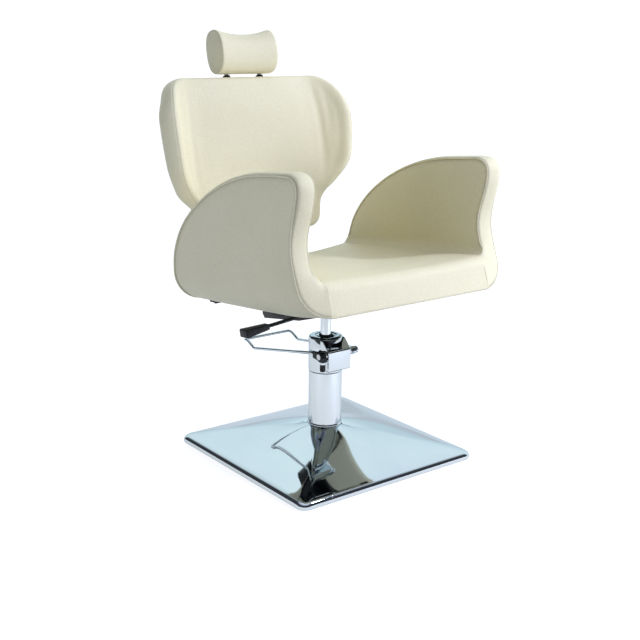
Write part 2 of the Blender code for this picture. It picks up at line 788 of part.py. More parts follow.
def bolt(name, length, parent, location, rotation=(0, 0, 0)):
    """A round-headed bolt whose shank runs up its Z from the underside of what it holds."""
    profile = [
        (0, length),
        (BOLT_R, length),
        (BOLT_R, -GAP),
        (BOLT_HEAD_R, -GAP),
        (BOLT_HEAD_R * 0.7, -GAP - BOLT_HEAD_H),
        (0, -GAP - BOLT_HEAD_H),
    ]
    return turned(name, profile, "steel", parent, location, rotation)


def bolt_hole(name, length, parent, location, rotation=(0, 0, 0)):
    return bore(name, BOLT_R + GAP, -2 * length, length + GAP, parent, location, rotation)


def build_seat(seat):
    """The cushion on its board, and the straps, let into the undersides, that carry board and arms."""
    half = JOINT_X - GAP
    lift = front_lift(SEAT_FRONT_Y)
    flat = SEAT_FRONT_Y + FRONT_LIFT_RUN
    rings = []
    radii = (SEAT_FOOT_R, SEAT_UNDER_R, SEAT_REAR_R, SEAT_REAR_R, SEAT_BROW_R)
    for share in SEAT_SHARES:
        hollow = 1 - share * share
        outline = [
            (SEAT_FRONT_Y, lift),
            (flat, 0),
            (SEAT_REAR_Y, 0),
            (SEAT_REAR_Y, SEAT_REAR_H - SEAT_REAR_DISH * hollow),
            (SEAT_FRONT_Y + FRONT_RAKE, SEAT_FRONT_H - SEAT_FRONT_DISH * hollow),
        ]
        loop = rounded_path(outline, radii, 4, closed=True)
        rings.append([(share * half, point.x, point.y) for point in loop])
    cushion = loft("seat_cushion", rings, "leather", seat)

    board_x = half - SEAT_BOARD_MARGIN
    board_front = flat + SEAT_BOARD_MARGIN / 2
    board_rear = SEAT_REAR_Y - SEAT_BOARD_MARGIN
    board_bottom = STRAP_THICK + GAP
    board_top = board_bottom + BOARD_THICK
    pocket_low = (-board_x - GAP, board_front - GAP, -BOARD_THICK)
    pocket_high = (board_x + GAP, board_rear + GAP, board_top + GAP)
    cut(cushion, make_cutter(box("board_pocket", pocket_low, pocket_high, "steel", seat)))
    board_low = (-board_x, board_front, board_bottom)
    board_high = (board_x, board_rear, board_top)
    board = box("seat_board", board_low, board_high, "plywood", seat)

    plate = box(
        "seat_plate",
        (-PLATE_HALF_WIDTH, PLATE_FRONT_Y, PLATE_BOTTOM),
        (PLATE_HALF_WIDTH, PLATE_REAR_Y, PLATE_TOP),
        "black_steel",
        seat,
    )
    build_hinge_lugs(seat, plate)
    strap_end = JOINT_X + STRAP_REACH
    sunk = [cushion]
    for side in ("right", "left"):
        sunk += [bpy.data.objects[f"arm_pad_{side}"], bpy.data.objects[f"arm_panel_{side}"]]
    bolt_x = (HOUSING_HALF_WIDTH + PLATE_HALF_WIDTH) / 2
    through = STRAP_THICK + PLATE_THICK + 2 * GAP + BOARD_THICK * 0.7
    for end, y in (("front", -STRAP_Y), ("rear", STRAP_Y)):
        front, rear = y - STRAP_WIDTH / 2, y + STRAP_WIDTH / 2
        strap = box(
            f"{end}_strap",
            (-strap_end, front, 0),
            (strap_end, rear, STRAP_THICK),
            "black_steel",
            seat,
        )
        low = (-strap_end - GAP, front - GAP, -STRAP_THICK)
        high = (strap_end + GAP, rear + GAP, STRAP_THICK + GAP)
        slot = make_cutter(box(f"{end}_strap_slot", low, high, "steel", seat))
        for piece in sunk:
            cut(piece, slot)
        for side, sign in (("right", -1), ("left", 1)):
            at = (sign * bolt_x, y, PLATE_BOTTOM)
            bolt(f"seat_bolt_{end}_{side}", through, seat, at)
            hole = bolt_hole(f"seat_hole_{end}_{side}", through, seat, at)
            cut(board, hole)
            cut(plate, hole)
            cut(strap, hole)
            at = (sign * (JOINT_X + ARM_BOLT_INSET), y, 0)
            bolt(f"arm_bolt_{end}_{side}", ARM_BOLT_LENGTH, seat, at)
            hole = bolt_hole(f"arm_hole_{end}_{side}", ARM_BOLT_LENGTH, seat, at)
            cut(strap, hole)
            cut(bpy.data.objects[f"arm_pad_{side}"], hole)
            cut(bpy.data.objects[f"arm_panel_{side}"], hole)


def build_hinge_lugs(seat, plate):
    """Two ears on the seat plate that hold the back's hinge pin."""
    ear_front = HOUSING_REAR_Y + HOUSING_WALL
    ear = [
        (ear_front, PLATE_TOP),
        (ear_front, PLATE_BOTTOM - GAP),
        (HINGE_Y - SLEEVE_R, -HINGE_DROP - SLEEVE_R),
        (HINGE_Y + SLEEVE_R, -HINGE_DROP - SLEEVE_R),
        (HINGE_Y + SLEEVE_R, PLATE_TOP),
    ]
    ear = rounded_path(ear, SLEEVE_R * 0.8, 3, closed=True)
    x = LUG_X + GAP + LUG_WALL / 2
    for side, sign in (("right", -1), ("left", 1)):
        join(plate, prism(f"hinge_ear_{side}", ear, LUG_WALL / 2, "black_steel", seat, sign * x))
    reach = x + LUG_WALL
    at = (0, HINGE_Y, -HINGE_DROP)
    cut(plate, bore("hinge_hole", HINGE_PIN_R + GAP, -2 * reach, 2 * reach, seat, at, ALONG_X))
    cylinder("hinge_pin", HINGE_PIN_R, -reach, reach, "steel", seat, at, ALONG_X)


def arm_outer(height):
    """Distance out and height of the arm's outer face, which curls in under the seat."""
    if height >= CURL_TOP:
        return ARM_OUTER_X, height
    straight = CURL_TOP - CURL_R
    end_angle = math.acos(1 - (ARM_OUTER_X - JOINT_X) / CURL_R)
    travel = (1 - height / CURL_TOP) * (straight + CURL_R * end_angle)
    if travel <= straight:
        return ARM_OUTER_X, CURL_TOP - travel
    angle = (travel - straight) / CURL_R
    return ARM_OUTER_X - CURL_R * (1 - math.cos(angle)), CURL_R * (1 - math.sin(angle))


def arm_inner(y, height):
    """Distance out and height of the arm's inner face, which fillets into the seat."""
    wall = ARM_OUTER_X - ARM_THICK
    if height >= CURL_TOP:
        return wall, height
    angle = (1 - height / CURL_TOP) * math.pi / 2
    out = JOINT_X + (wall - JOINT_X) * math.cos(angle)
    return out, CURL_TOP - (CURL_TOP - seat_top(y)) * math.sin(angle)


def front_nose(y, height, share):
    """How far the arm's foot draws back to carry on the seat's front, bottom (0) to top (1)."""
    near = max(0.0, 1 - (y - SEAT_FRONT_Y) / NOSE_RUN)
    low = max(0.0, 1 - height / NOSE_FADE)
    share = min(max(share, 0.0), 1.0)
    tall = SEAT_FRONT_H - FRONT_LIFT
    back = FRONT_RAKE * share
    for radius, off in ((SEAT_FOOT_R, share * tall), (SEAT_BROW_R, (1 - share) * tall)):
        if off < radius:
            back += radius - math.sqrt(radius**2 - (radius - off) ** 2)
    return back * near * near * low * low * (3 - 2 * low)


def arm_point(y, height, depth):
    """A point of the arm's padding, by its place on the side and its depth from the outer face."""
    share = depth / ARM_THICK
    height = max(height, 0.0)
    outer_x, outer_z = arm_outer(height)
    inner_x, inner_z = arm_inner(y, height)
    lift = front_lift(y) * max(0.0, 1 - height / CURL_TOP) * (1 - share)
    return (
        outer_x + (inner_x - outer_x) * share,
        y + front_nose(y, height, share),
        outer_z + (inner_z - outer_z) * share + lift,
    )


def arm_outline():
    """The arm's side: hollow front, rounded nose, level top and a long fall to the rear."""
    length = SEAT_REAR_Y - SEAT_FRONT_Y
    outline = [Vector((SEAT_FRONT_Y + length * k / 8, GAP)) for k in range(8)]
    outline += [Vector((SEAT_REAR_Y, GAP)), Vector((ARM_REAR_Y, ARM_REAR_H / 2))]
    fall = (ARM_TOP - ARM_REAR_H) * ARM_FALL_PULL
    glide = (ARM_REAR_Y - ARM_TOP_REAR_Y) * ARM_GLIDE_PULL
    rear, top = (ARM_REAR_Y, ARM_REAR_H), (ARM_TOP_REAR_Y, ARM_TOP)
    outline += bezier(rear, (ARM_REAR_Y, ARM_REAR_H + fall), (ARM_TOP_REAR_Y + glide, ARM_TOP), top, 8)
    outline.append(Vector(top))
    nose_y, nose_h = ARM_NOSE
    waist_y, waist_h = ARM_WAIST
    crest = (ARM_TOP_FRONT_Y, ARM_TOP)
    rise = ARM_TOP - nose_h
    over = (ARM_TOP_FRONT_Y - rise * ARM_CREST_PULL, ARM_TOP)
    outline += bezier(crest, over, (nose_y, nose_h + rise * ARM_NOSE_PULL), ARM_NOSE, 4)
    hollow = nose_h - waist_h
    below = (nose_y + ARM_NOSE_TUCK, nose_h - hollow * ARM_HOLLOW_PULL)
    outline += bezier(ARM_NOSE, below, (waist_y, waist_h + hollow * ARM_HOLLOW_PULL), ARM_WAIST, 4)
    foot = (SEAT_FRONT_Y, GAP)
    ankle = (SEAT_FRONT_Y + ARM_FOOT_TUCK, waist_h * ARM_ANKLE_SHARE)
    outline += bezier(ARM_WAIST, (waist_y, waist_h * ARM_SHIN_SHARE), ankle, foot, 4)
    return outline


ARM_CENTRE = (-0.060, 0.190)
PAD_SHARES = (0.30, 0.52, 0.70, 0.86)
BOARD_POINT_STEP = 0.010


def build_arms(seat):
    """Each arm: padding with an edge band, a plywood board let into it and an outer side panel."""
    outline = arm_outline()
    floor = PANEL_THICK + GAP
    pad = [(PANEL_INSET, share, floor) for share in PAD_SHARES]
    pad += [
        (PANEL_INSET, 1, floor),
        (PANEL_INSET, 1, PANEL_LIP),
        (ARM_EDGE_INSET, 1, ARM_EDGE_ROLL),
        (-ARM_EDGE_INSET, 1, ARM_THICK / 2),
        (ARM_EDGE_INSET, 1, ARM_THICK - ARM_EDGE_ROLL),
        (ARM_FACE_INSET, 1, ARM_THICK),
    ]
    for share in PAD_SHARES[::-1]:
        pad.append((ARM_FACE_INSET, share, ARM_THICK + ARM_CROWN * (1 - share)))
    panel = [(PANEL_INSET + GAP, share, 0.0) for share in PAD_SHARES + (1,)]
    panel += [(PANEL_INSET + GAP, share, PANEL_THICK) for share in (1,) + PAD_SHARES[::-1]]
    board = []
    for point in inset_outline(outline, ARM_BOARD_INSET):
        if point.y > CURL_TOP and (not board or (point - board[-1]).length > BOARD_POINT_STEP):
            board.append(point)
    board_x = ARM_OUTER_X - floor - GAP - ARM_BOARD_THICK / 2
    for side, sign in (("right", -1), ("left", 1)):
        pieces = {}
        for name, steps in (("arm_pad", pad), ("arm_panel", panel)):
            rings = [ring_of(outline, ARM_CENTRE, *step) for step in steps]
            placed = []
            for ring in rings:
                points = [arm_point(*point) for point in ring]
                placed.append([(sign * x, y, z) for x, y, z in points])
            pieces[name] = loft(f"{name}_{side}", placed, "leather", seat)
        half = ARM_BOARD_THICK / 2
        prism(f"arm_board_{side}", board, half, "plywood", seat, sign * board_x)
        pocket = [Vector(point) for point in inset_outline(board, -GAP)]
        pocket_x = sign * (board_x + GAP * 2)
        slot = prism(f"arm_pocket_{side}", pocket, half + GAP * 3, "steel", seat, pocket_x)
        cut(pieces["arm_pad"], make_cutter(slot))


def grip_ring(x, half_width, half_height, inset):
    """One section of the lever's grip: a rectangle with its corners cut off."""
    wide, tall = half_width - inset, half_height - inset
    narrow, short = wide - GRIP_EASE, tall - GRIP_EASE
    corners = [(wide, short), (narrow, tall), (-narrow, tall), (-wide, short)]
    corners += [(-y, -z) for y, z in corners]
    return [(x, y, z) for y, z in corners]


def build_mechanism(swivel, seat, lever):
    """The socket on the piston, the pressed housing under the seat and the recline lever."""
    profile = [
        (0, SEAT_Z),
        (SOCKET_R, SEAT_Z),
        (SOCKET_R, SOCKET_BOTTOM),
        (PISTON_R + GAP, SOCKET_BOTTOM),
        (PISTON_R + GAP, SOCKET_BORE_TOP),
        (0, SOCKET_BORE_TOP),
    ]
    socket = turned("seat_socket", profile, "steel", swivel)
    top_low = (-PLATE_HALF_WIDTH, -PLATE_HALF_WIDTH, PLATE_BOTTOM - GAP)
    top_high = (PLATE_HALF_WIDTH, PLATE_HALF_WIDTH, PLATE_BOTTOM + SOCKET_R * 2)
    cut(socket, make_cutter(box("socket_top_cut", top_low, top_high, "steel", seat)))

    roof = PLATE_BOTTOM - GAP
    side_view = [
        (HOUSING_FRONT_Y, roof),
        (HOUSING_FRONT_Y, -HOUSING_FRONT_H),
        (HOUSING_REAR_Y - HOUSING_CORNER, -HOUSING_REAR_H),
        (HOUSING_REAR_Y, -HOUSING_REAR_H + HOUSING_CORNER * 0.7),
        (HOUSING_REAR_Y, roof),
    ]
    wall = HOUSING_WALL
    housing = prism("mechanism_housing", side_view, HOUSING_HALF_WIDTH, "black_steel", seat)
    inside_x = HOUSING_HALF_WIDTH - wall
    low = (-inside_x, HOUSING_FRONT_Y + wall, -2 * HOUSING_REAR_H)
    high = (inside_x, HOUSING_REAR_Y - wall, roof + wall)
    inside = box("housing_hollow", low, high, "steel", seat)
    slot_x = SPRING_X + SPRING_R + SPRING_SLOT_CLEAR
    low = (-slot_x, HOUSING_REAR_Y - HOUSING_CORNER, -HOUSING_REAR_H - wall)
    high = (slot_x, HOUSING_REAR_Y + wall, -HINGE_DROP)
    slot = box("spring_slot", low, high, "steel", seat)
    cut(housing, make_cutter(inside), make_cutter(slot))

    pivot_x = -HOUSING_HALF_WIDTH + wall / 2
    at = (pivot_x, LEVER_Y, -LEVER_DROP)
    half = BUSH_LENGTH / 2
    cut(housing, bore("lever_hole", BUSH_R + GAP, -BUSH_LENGTH, BUSH_LENGTH, seat, at, ALONG_X))
    bush_bore = LEVER_R / math.cos(LEVER_TIP) + half * math.tan(LEVER_TIP) + GAP / 2
    tube("lever_bush", BUSH_R, bush_bore, -half, half, "black_plastic", seat, at, ALONG_X)

    cylinder("recline_lever", LEVER_R, -LEVER_OUT, LEVER_INSIDE, "black_steel", lever, rotation=ALONG_X)
    neck_x = -LEVER_OUT + GRIP_OVERLAP
    tip_x = neck_x - GRIP_LENGTH
    neck = (GRIP_NECK_HALF_WIDTH, GRIP_NECK_HALF_H)
    tip = (GRIP_HALF_WIDTH, GRIP_HALF_H)
    rings = [
        grip_ring(neck_x, *neck, GRIP_EASE / 2),
        grip_ring(neck_x - GRIP_EASE, *neck, 0.0),
        grip_ring(tip_x + GRIP_EASE, *tip, 0.0),
        grip_ring(tip_x, *tip, GRIP_EASE),
    ]
    grip = loft("recline_grip", rings, "black_plastic", lever)
    cut(grip, bore("grip_hole", LEVER_R + GAP, -LEVER_OUT - GAP, 0, lever, rotation=ALONG_X))


SPRING_X = SOCKET_R + SPRING_SIDE + SPRING_R
CRANK_PIN = (HINGE_Y + CRANK_R * math.sin(CRANK_LEAD), -HINGE_DROP - CRANK_R * math.cos(CRANK_LEAD))
SPRING_ANGLE = math.atan2(CRANK_PIN[1] + SPRING_DROP, CRANK_PIN[0] - SPRING_FRONT_Y)
SPRING_SPAN = math.hypot(CRANK_PIN[1] + SPRING_DROP, CRANK_PIN[0] - SPRING_FRONT_Y)


def build_gas_spring(seat, cylinder_axis, rod_axis):
    """The lockable gas spring, drawn along Y from its front boss to the crank."""
    x = SPRING_X
    boss_at = (0, SPRING_FRONT_Y, -SPRING_DROP)
    boss_high = HOUSING_HALF_WIDTH - HOUSING_WALL - GAP
    cylinder("spring_pin", SPRING_BOSS_R, -boss_high, boss_high, "steel", seat, boss_at, ALONG_X)
    inside = SPRING_ROD_R + GAP
    head = SPRING_BOSS_R + GAP + SPRING_HEAD_WALL
    body = [
        (0, head + SPRING_FLOOR),
        (inside, head + SPRING_FLOOR),
        (inside, SPRING_TUBE),
        (SPRING_R, SPRING_TUBE),
        (SPRING_R, -head),
        (0, -head),
    ]
    spring = turned("gas_spring_tube", body, "black_steel", cylinder_axis, (x, 0, 0), ALONG_Y)
    eye_r = SPRING_BOSS_R + GAP
    reach = SPRING_R * 2
    cut(spring, bore("spring_eye", eye_r, -reach, reach, cylinder_axis, (x, 0, 0), ALONG_X))

    inner = CRANK_PIN_R + OPEN_PIVOT
    outer = inner + SPRING_EYE_WALL
    start = SPRING_TUBE * 0.45
    end = SPRING_SPAN - inner - SPRING_EYE_WALL / 2
    gas_rod = cylinder("gas_spring_rod", SPRING_ROD_R, start, end, "chrome", rod_axis, (x, 0, 0), ALONG_Y)
    half = SPRING_EYE_HALF_WIDTH
    ring = tube("rod_eye", outer, inner, -half, half, "chrome", rod_axis, (x, SPRING_SPAN, 0), ALONG_X)
    join(gas_rod, ring)


def back_point(across, up, depth):
    """A point of the back by its place on the flat cover and its depth; the wings bend forward."""
    side = math.copysign(1, across)
    span = abs(across)
    if span <= WING_START:
        return across, depth, up
    bend = WING_R * WING_ANGLE
    angle = min(span - WING_START, bend) / WING_R
    beyond = max(0.0, span - WING_START - bend)
    out = WING_START + (WING_R + depth) * math.sin(angle) + beyond * math.cos(angle)
    deep = (WING_R + depth) * math.cos(angle) - WING_R - beyond * math.sin(angle)
    return side * out, deep, up


def back_outline():
    """The flat cover: a tongue that flares into two rounded wings."""
    neck = (TONGUE_HALF_WIDTH, TONGUE_H)
    tongue = [(TONGUE_HALF_WIDTH * 0.4, 0), (TONGUE_HALF_WIDTH, 0), neck]
    half = rounded_path(tongue, TONGUE_CORNER, 3)[:-1]
    flare = WING_FOOT[0] - TONGUE_HALF_WIDTH
    rise = WING_FOOT[1] - TONGUE_H
    above = (TONGUE_HALF_WIDTH, TONGUE_H + rise * NECK_PULL)
    below = (WING_FOOT[0] - flare * WING_FOOT_PULL, WING_FOOT[1] - rise * NECK_PULL)
    half += bezier(neck, above, below, WING_FOOT, 5)
    tip = (WING_HALF_WIDTH, WING_H)
    swell = WING_HALF_WIDTH - WING_FOOT[0]
    climb = WING_H - WING_FOOT[1]
    above = (WING_FOOT[0] + swell / 2, WING_FOOT[1] + climb * WING_CLIMB_PULL)
    half += bezier(WING_FOOT, above, (WING_HALF_WIDTH, WING_H - climb * WING_TIP_PULL), tip, 3)
    crown = BACK_H - WING_H
    reach = WING_HALF_WIDTH - WING_SHOULDER
    above = (WING_HALF_WIDTH, WING_H + crown * WING_CROWN_PULL)
    beside = (WING_SHOULDER + reach * WING_SHOULDER_PULL, BACK_H)
    half += bezier(tip, above, beside, (WING_SHOULDER, BACK_H), 5)
    half += [Vector((WING_SHOULDER, BACK_H)), Vector((WING_SHOULDER * 0.45, BACK_H))]
    return half + [Vector((-point.x, point.y)) for point in half[::-1]]


BACK_CENTRE = (0, 0.260)
BACK_SHARES = (0.28, 0.57, 0.65, 0.73, 0.86)
COVER_FRONT = BACK_THICK - COVER_THICK
BOARD_REAR = COVER_FRONT - GAP
BOARD_FRONT = BOARD_REAR - BACK_BOARD_THICK


def back_form(name, steps, finish, parent):
    outline = back_outline()
    rings = [[back_point(*point) for point in ring_of(outline, BACK_CENTRE, *step)] for step in steps]
    return loft(name, rings, finish, parent)


def build_back(back, hinge):
    """The padded front with its edge band, the bent board, the rear cover and the steel bracket."""
    floor = BOARD_FRONT - GAP
    shelf = COVER_FRONT - GAP
    pad = [(BACK_BOARD_INSET, share, floor) for share in BACK_SHARES + (1,)]
    pad += [
        (BACK_BOARD_INSET, 1, shelf),
        (COVER_INSET, 1, shelf),
        (COVER_INSET, 1, BACK_THICK - BACK_EDGE_INSET),
        (BACK_EDGE_INSET, 1, BACK_THICK - BACK_EDGE_ROLL),
        (-BAND_CROWN, 1, BACK_THICK / 2),
        (BACK_EDGE_INSET, 1, BACK_EDGE_ROLL),
        (BACK_FACE_INSET, 1, BACK_FACE_LIP),
    ]
    for share in BACK_SHARES[::-1]:
        pad.append((BACK_FACE_INSET, share, -BACK_CROWN * (1 - share)))
    cushion = back_form("back_pad", pad, "leather", back)
    shares = BACK_SHARES + (1,)
    inset = BACK_BOARD_INSET + GAP
    board = [(inset, share, BOARD_FRONT) for share in shares]
    board += [(inset, share, BOARD_REAR) for share in shares[::-1]]
    plywood = back_form("back_board", board, "plywood", back)
    edge = COVER_INSET + GAP
    cover = [(inset, share, COVER_FRONT) for share in shares]
    cover += [(edge, 1, COVER_FRONT), (edge, 1, BACK_THICK)]
    cover += [(inset, share, BACK_THICK) for share in shares[::-1]]
    rear = back_form("back_cover", cover, "leather", back)

    for side, sign in (("right", -1), ("left", 1)):
        at = (sign * POST_X, POST_Y, BACK_H + BAND_CROWN)
        outer = POST_R + GAP + GUIDE_WALL
        bottom = -POST_DEPTH - BAND_CROWN - GAP
        cut(cushion, bore(f"guide_hole_{side}", outer + GAP, bottom, BACK_H, back, at))
        profile = [
            (GUIDE_COLLAR_R, GUIDE_COLLAR_H + GAP),
            (GUIDE_COLLAR_R, GAP),
            (outer, GAP),
            (outer, -GUIDE_LENGTH),
            (POST_R + GAP, -GUIDE_LENGTH),
            (POST_R + GAP, GUIDE_COLLAR_H + GAP),
        ]
        turned(f"headrest_guide_{side}", profile, "chrome", back, at, ring=True)

    build_bracket(back, hinge, plywood, rear)


def build_bracket(back, hinge, plywood, cover):
    """The bent strap from the hinge sleeve up the back's rear, and the crank for the gas spring.

    It is drawn about the hinge's axis, in the back's lean.
    """
    foot = back.location
    behind = foot.y + BACK_THICK + GAP + BRACKET_THICK / 2
    path = [
        (0, 0),
        (behind * 0.62, -SLEEVE_R * 0.3),
        (behind, foot.z * 0.42),
        (behind, foot.z + BRACKET_TOP),
    ]
    middle = rounded_path([Vector(point) for point in path], BRACKET_BEND_R * 2, 5)
    sides = ([], [])
    for i, point in enumerate(middle):
        ahead = middle[min(i + 1, len(middle) - 1)] - middle[max(i - 1, 0)]
        across = Vector((-ahead.y, ahead.x)).normalized() * BRACKET_THICK / 2
        sides[0].append(point - across)
        sides[1].append(point + across)
    bracket = prism("back_bracket", sides[0] + sides[1][::-1], BRACKET_HALF_WIDTH, "black_steel", hinge)
    sleeve = cylinder("hinge_sleeve", SLEEVE_R, -LUG_X, LUG_X, "black_steel", hinge, rotation=ALONG_X)
    pin_y = CRANK_R * math.sin(CRANK_LEAD + BACK_LEAN - SEAT_TILT)
    pin_z = -CRANK_R * math.cos(CRANK_LEAD + BACK_LEAN - SEAT_TILT)
    drop = Vector((pin_y, pin_z))
    wide = Vector((-drop.y, drop.x)).normalized()
    arm = [wide * SLEEVE_R * 0.8, -wide * SLEEVE_R * 0.8]
    eye = wide * CRANK_EYE_R * 0.8
    arm += [drop - eye, drop + drop.normalized() * CRANK_EYE_R, drop + eye]
    crank_x = SPRING_X - SPRING_EYE_HALF_WIDTH - 2 * GAP - CRANK_HALF_WIDTH
    crank = prism("crank_arm", arm, CRANK_HALF_WIDTH, "black_steel", hinge, crank_x)
    join(bracket, sleeve, crank)
    reach = 2 * LUG_X
    cut(bracket, bore("sleeve_bore", HINGE_PIN_R + GAP, -reach, reach, hinge, rotation=ALONG_X))
    pin_at = (0, pin_y, pin_z)
    cut(bracket, bore("crank_hole", CRANK_PIN_R + GAP, -reach, reach, hinge, pin_at, ALONG_X))
    start = crank_x - CRANK_HALF_WIDTH - GAP
    stop = start + CRANK_PIN_LENGTH
    cylinder("crank_pin", CRANK_PIN_R, start, stop, "steel", hinge, pin_at, ALONG_X)

    seat_depth = BRACKET_THICK + 2 * GAP + COVER_THICK + BACK_BOARD_THICK * 0.7
    for name, up in (("low", BACK_BOLT_LOW), ("high", BACK_BOLT_HIGH)):
        at = (0, BACK_THICK + BRACKET_THICK + GAP, up)
        rotation = (math.pi / 2, 0, 0)
        bolt(f"back_bolt_{name}", seat_depth, back, at, rotation)
        hole = bolt_hole(f"back_hole_{name}", seat_depth, back, at, rotation)
        cut(bracket, hole)
        cut(cover, hole)
        cut(plywood, hole)


SADDLE_SHARES = (-1, -0.97, -0.85, -0.55, 0, 0.55, 0.85, 0.97, 1)
SADDLE_POINTS = 20


def headrest_section(x, grow=0.0):
    """(y, z) points round the headrest at one place along it; it is saddled in the middle."""
    middle = 1 - (x / HEADREST_HALF_WIDTH) ** 2
    loop = []
    for k in range(SADDLE_POINTS):
        angle = 2 * math.pi * k / SADDLE_POINTS
        c, s = math.cos(angle), math.sin(angle)
        depth = HEADREST_HALF_DEPTH - grow
        height = HEADREST_HALF_H - grow
        if c < 0:
            depth -= SADDLE_SCOOP * middle
        if s > 0:
            height -= SADDLE_DIP * middle
        power = SADDLE_REAR_POWER if c > 0 else SADDLE_FRONT_POWER
        y = HEADREST_Y + depth * math.copysign(abs(c) ** power, c)
        loop.append((y, HEADREST_Z + height * math.copysign(abs(s) ** SADDLE_TOP_POWER, s)))
    return loop


def build_headrest(headrest):
    """The saddle-shaped pad with its end panels, on a core plate and two posts."""
    end = HEADREST_HALF_WIDTH - END_PANEL_THICK - GAP
    rings = []
    for share in SADDLE_SHARES:
        x = share * end
        grow = SADDLE_END_EASE if abs(share) == 1 else 0.0
        rings.append([(x, y, z) for y, z in headrest_section(x, grow)])
    pad = loft("headrest_pad", rings, "leather", headrest)
    panel_x = HEADREST_HALF_WIDTH - END_PANEL_THICK / 2
    outline = headrest_section(HEADREST_HALF_WIDTH, END_PANEL_INSET)
    for side, sign in (("right", -1), ("left", 1)):
        prism(f"headrest_end_{side}", outline, END_PANEL_THICK / 2, "leather", headrest, sign * panel_x)

    half = CORE_THICK / 2
    low = (-CORE_HALF_WIDTH - GAP, POST_Y - half - GAP, HEADREST_Z - 2 * HEADREST_HALF_H)
    high = (CORE_HALF_WIDTH + GAP, POST_Y + half + GAP, CORE_TOP + GAP)
    cut(pad, make_cutter(box("core_slot", low, high, "steel", headrest)))
    low = (-CORE_HALF_WIDTH, POST_Y - half, CORE_BOTTOM)
    high = (CORE_HALF_WIDTH, POST_Y + half, CORE_TOP)
    box("headrest_core", low, high, "plywood", headrest)
    for side, sign in (("right", -1), ("left", 1)):
        at = (sign * POST_X, POST_Y, 0)
        foot, top = BACK_H - POST_DEPTH, CORE_BOTTOM - GAP
        cylinder(f"headrest_post_{side}", POST_R, foot, top, "chrome", headrest, at)


def main():
    root = joint_empty("floor_frame")
    lift = joint_empty("lift_axis", root)
    swivel = joint_empty("swivel_axis", lift)
    seat = joint_empty("seat_frame", swivel, (0, 0, SEAT_Z), -SEAT_TILT)
    pedal = joint_empty("pedal_axis", root, (0, SHAFT_Y, SHAFT_Z))
    plunger = joint_empty("plunger_axis", root, (0, SHAFT_Y + PLUNGER_OFFSET, SHAFT_Z))
    pivot_x = -HOUSING_HALF_WIDTH + HOUSING_WALL / 2
    lever = joint_empty("lever_axis", seat, (pivot_x, LEVER_Y, -LEVER_DROP))
    lever.rotation_euler.y = -LEVER_SLOPE
    spring_at = (0, SPRING_FRONT_Y, -SPRING_DROP)
    spring_tube = joint_empty("spring_axis", seat, spring_at, SPRING_ANGLE)
    spring_rod = joint_empty("spring_rod_axis", seat, spring_at, SPRING_ANGLE)
    hinge = joint_empty("recline_axis", seat, (0, HINGE_Y, -HINGE_DROP), SEAT_TILT - BACK_LEAN)
    tilt = Matrix.Rotation(-SEAT_TILT, 3, "X")
    axis = tilt @ Vector((0, HINGE_Y, -HINGE_DROP)) + Vector((0, 0, SEAT_Z))
    offset = Matrix.Rotation(BACK_LEAN, 3, "X") @ (Vector((0, *BACK_FOOT)) - axis)
    back = joint_empty("back_frame", hinge, offset)
    headrest = joint_empty("headrest_axis", back)

    build_base(root)
    build_pump(root, lift)
    build_pedal(pedal, plunger)
    build_arms(seat)
    build_seat(seat)
    build_mechanism(swivel, seat, lever)
    build_gas_spring(seat, spring_tube, spring_rod)
    build_back(back, hinge)
    build_headrest(headrest)
    bpy.context.view_layer.update()


main()
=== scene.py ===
# %% [markdown]
# # A cream barber chair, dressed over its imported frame
# The frame brings in every solid of the chair in its true place, and the moving bodies. What follows
# dresses it: leather over foam, mirror chrome, black steel, and a plain pale studio.

# %% Load the frame
import math

import bmesh
import bpy
import numpy as np
from mathutils import Matrix, Vector
from mathutils.bvhtree import BVHTree


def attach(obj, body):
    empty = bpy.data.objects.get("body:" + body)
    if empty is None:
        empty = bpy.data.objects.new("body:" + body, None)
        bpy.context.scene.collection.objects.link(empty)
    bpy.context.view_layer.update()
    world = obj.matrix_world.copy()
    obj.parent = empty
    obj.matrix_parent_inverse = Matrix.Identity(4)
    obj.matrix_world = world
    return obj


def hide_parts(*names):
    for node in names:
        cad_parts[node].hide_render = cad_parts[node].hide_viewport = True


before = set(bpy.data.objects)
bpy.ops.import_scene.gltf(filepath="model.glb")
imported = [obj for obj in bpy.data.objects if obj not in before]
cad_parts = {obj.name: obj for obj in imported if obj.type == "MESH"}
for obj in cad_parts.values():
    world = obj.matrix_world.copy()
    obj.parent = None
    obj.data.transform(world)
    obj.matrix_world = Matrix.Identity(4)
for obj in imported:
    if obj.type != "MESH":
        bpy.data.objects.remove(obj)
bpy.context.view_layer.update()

# %% [markdown]
# A few small tools serve every step: one puts a new thing into the scene, one takes a piece in hand, and one
# changes its shape for good.


# %% Small tools
def placed(name, data):
    """A new object with this data, put into the scene."""
    thing = bpy.data.objects.new(name, data)
    bpy.context.scene.collection.objects.link(thing)
    return thing


def begin():
    """Lets go of everything."""
    bpy.ops.object.select_all(action="DESELECT")


def take(piece):
    """Takes one piece in hand, and nothing else."""
    begin()
    piece.select_set(True)
    bpy.context.view_layer.objects.active = piece


def apply(piece, kind, **settings):
    """Adds a modifier with its settings and applies it."""
    modifier = piece.modifiers.new(kind.lower(), kind)
    for name, value in settings.items():
        setattr(modifier, name, value)
    bpy.context.view_layer.objects.active = piece
    bpy.ops.object.modifier_apply(modifier=modifier.name)


SIDES = (("right", -1), ("left", 1))  # of the sitter, with the sign of x
print("sides", [label for label, _ in SIDES])

# %% [markdown]
# ## Camera
# A lens was fitted to the corners of the square base in the photograph: its place, its direction and a
# small roll. The frame is square, 640 pixels on a side.

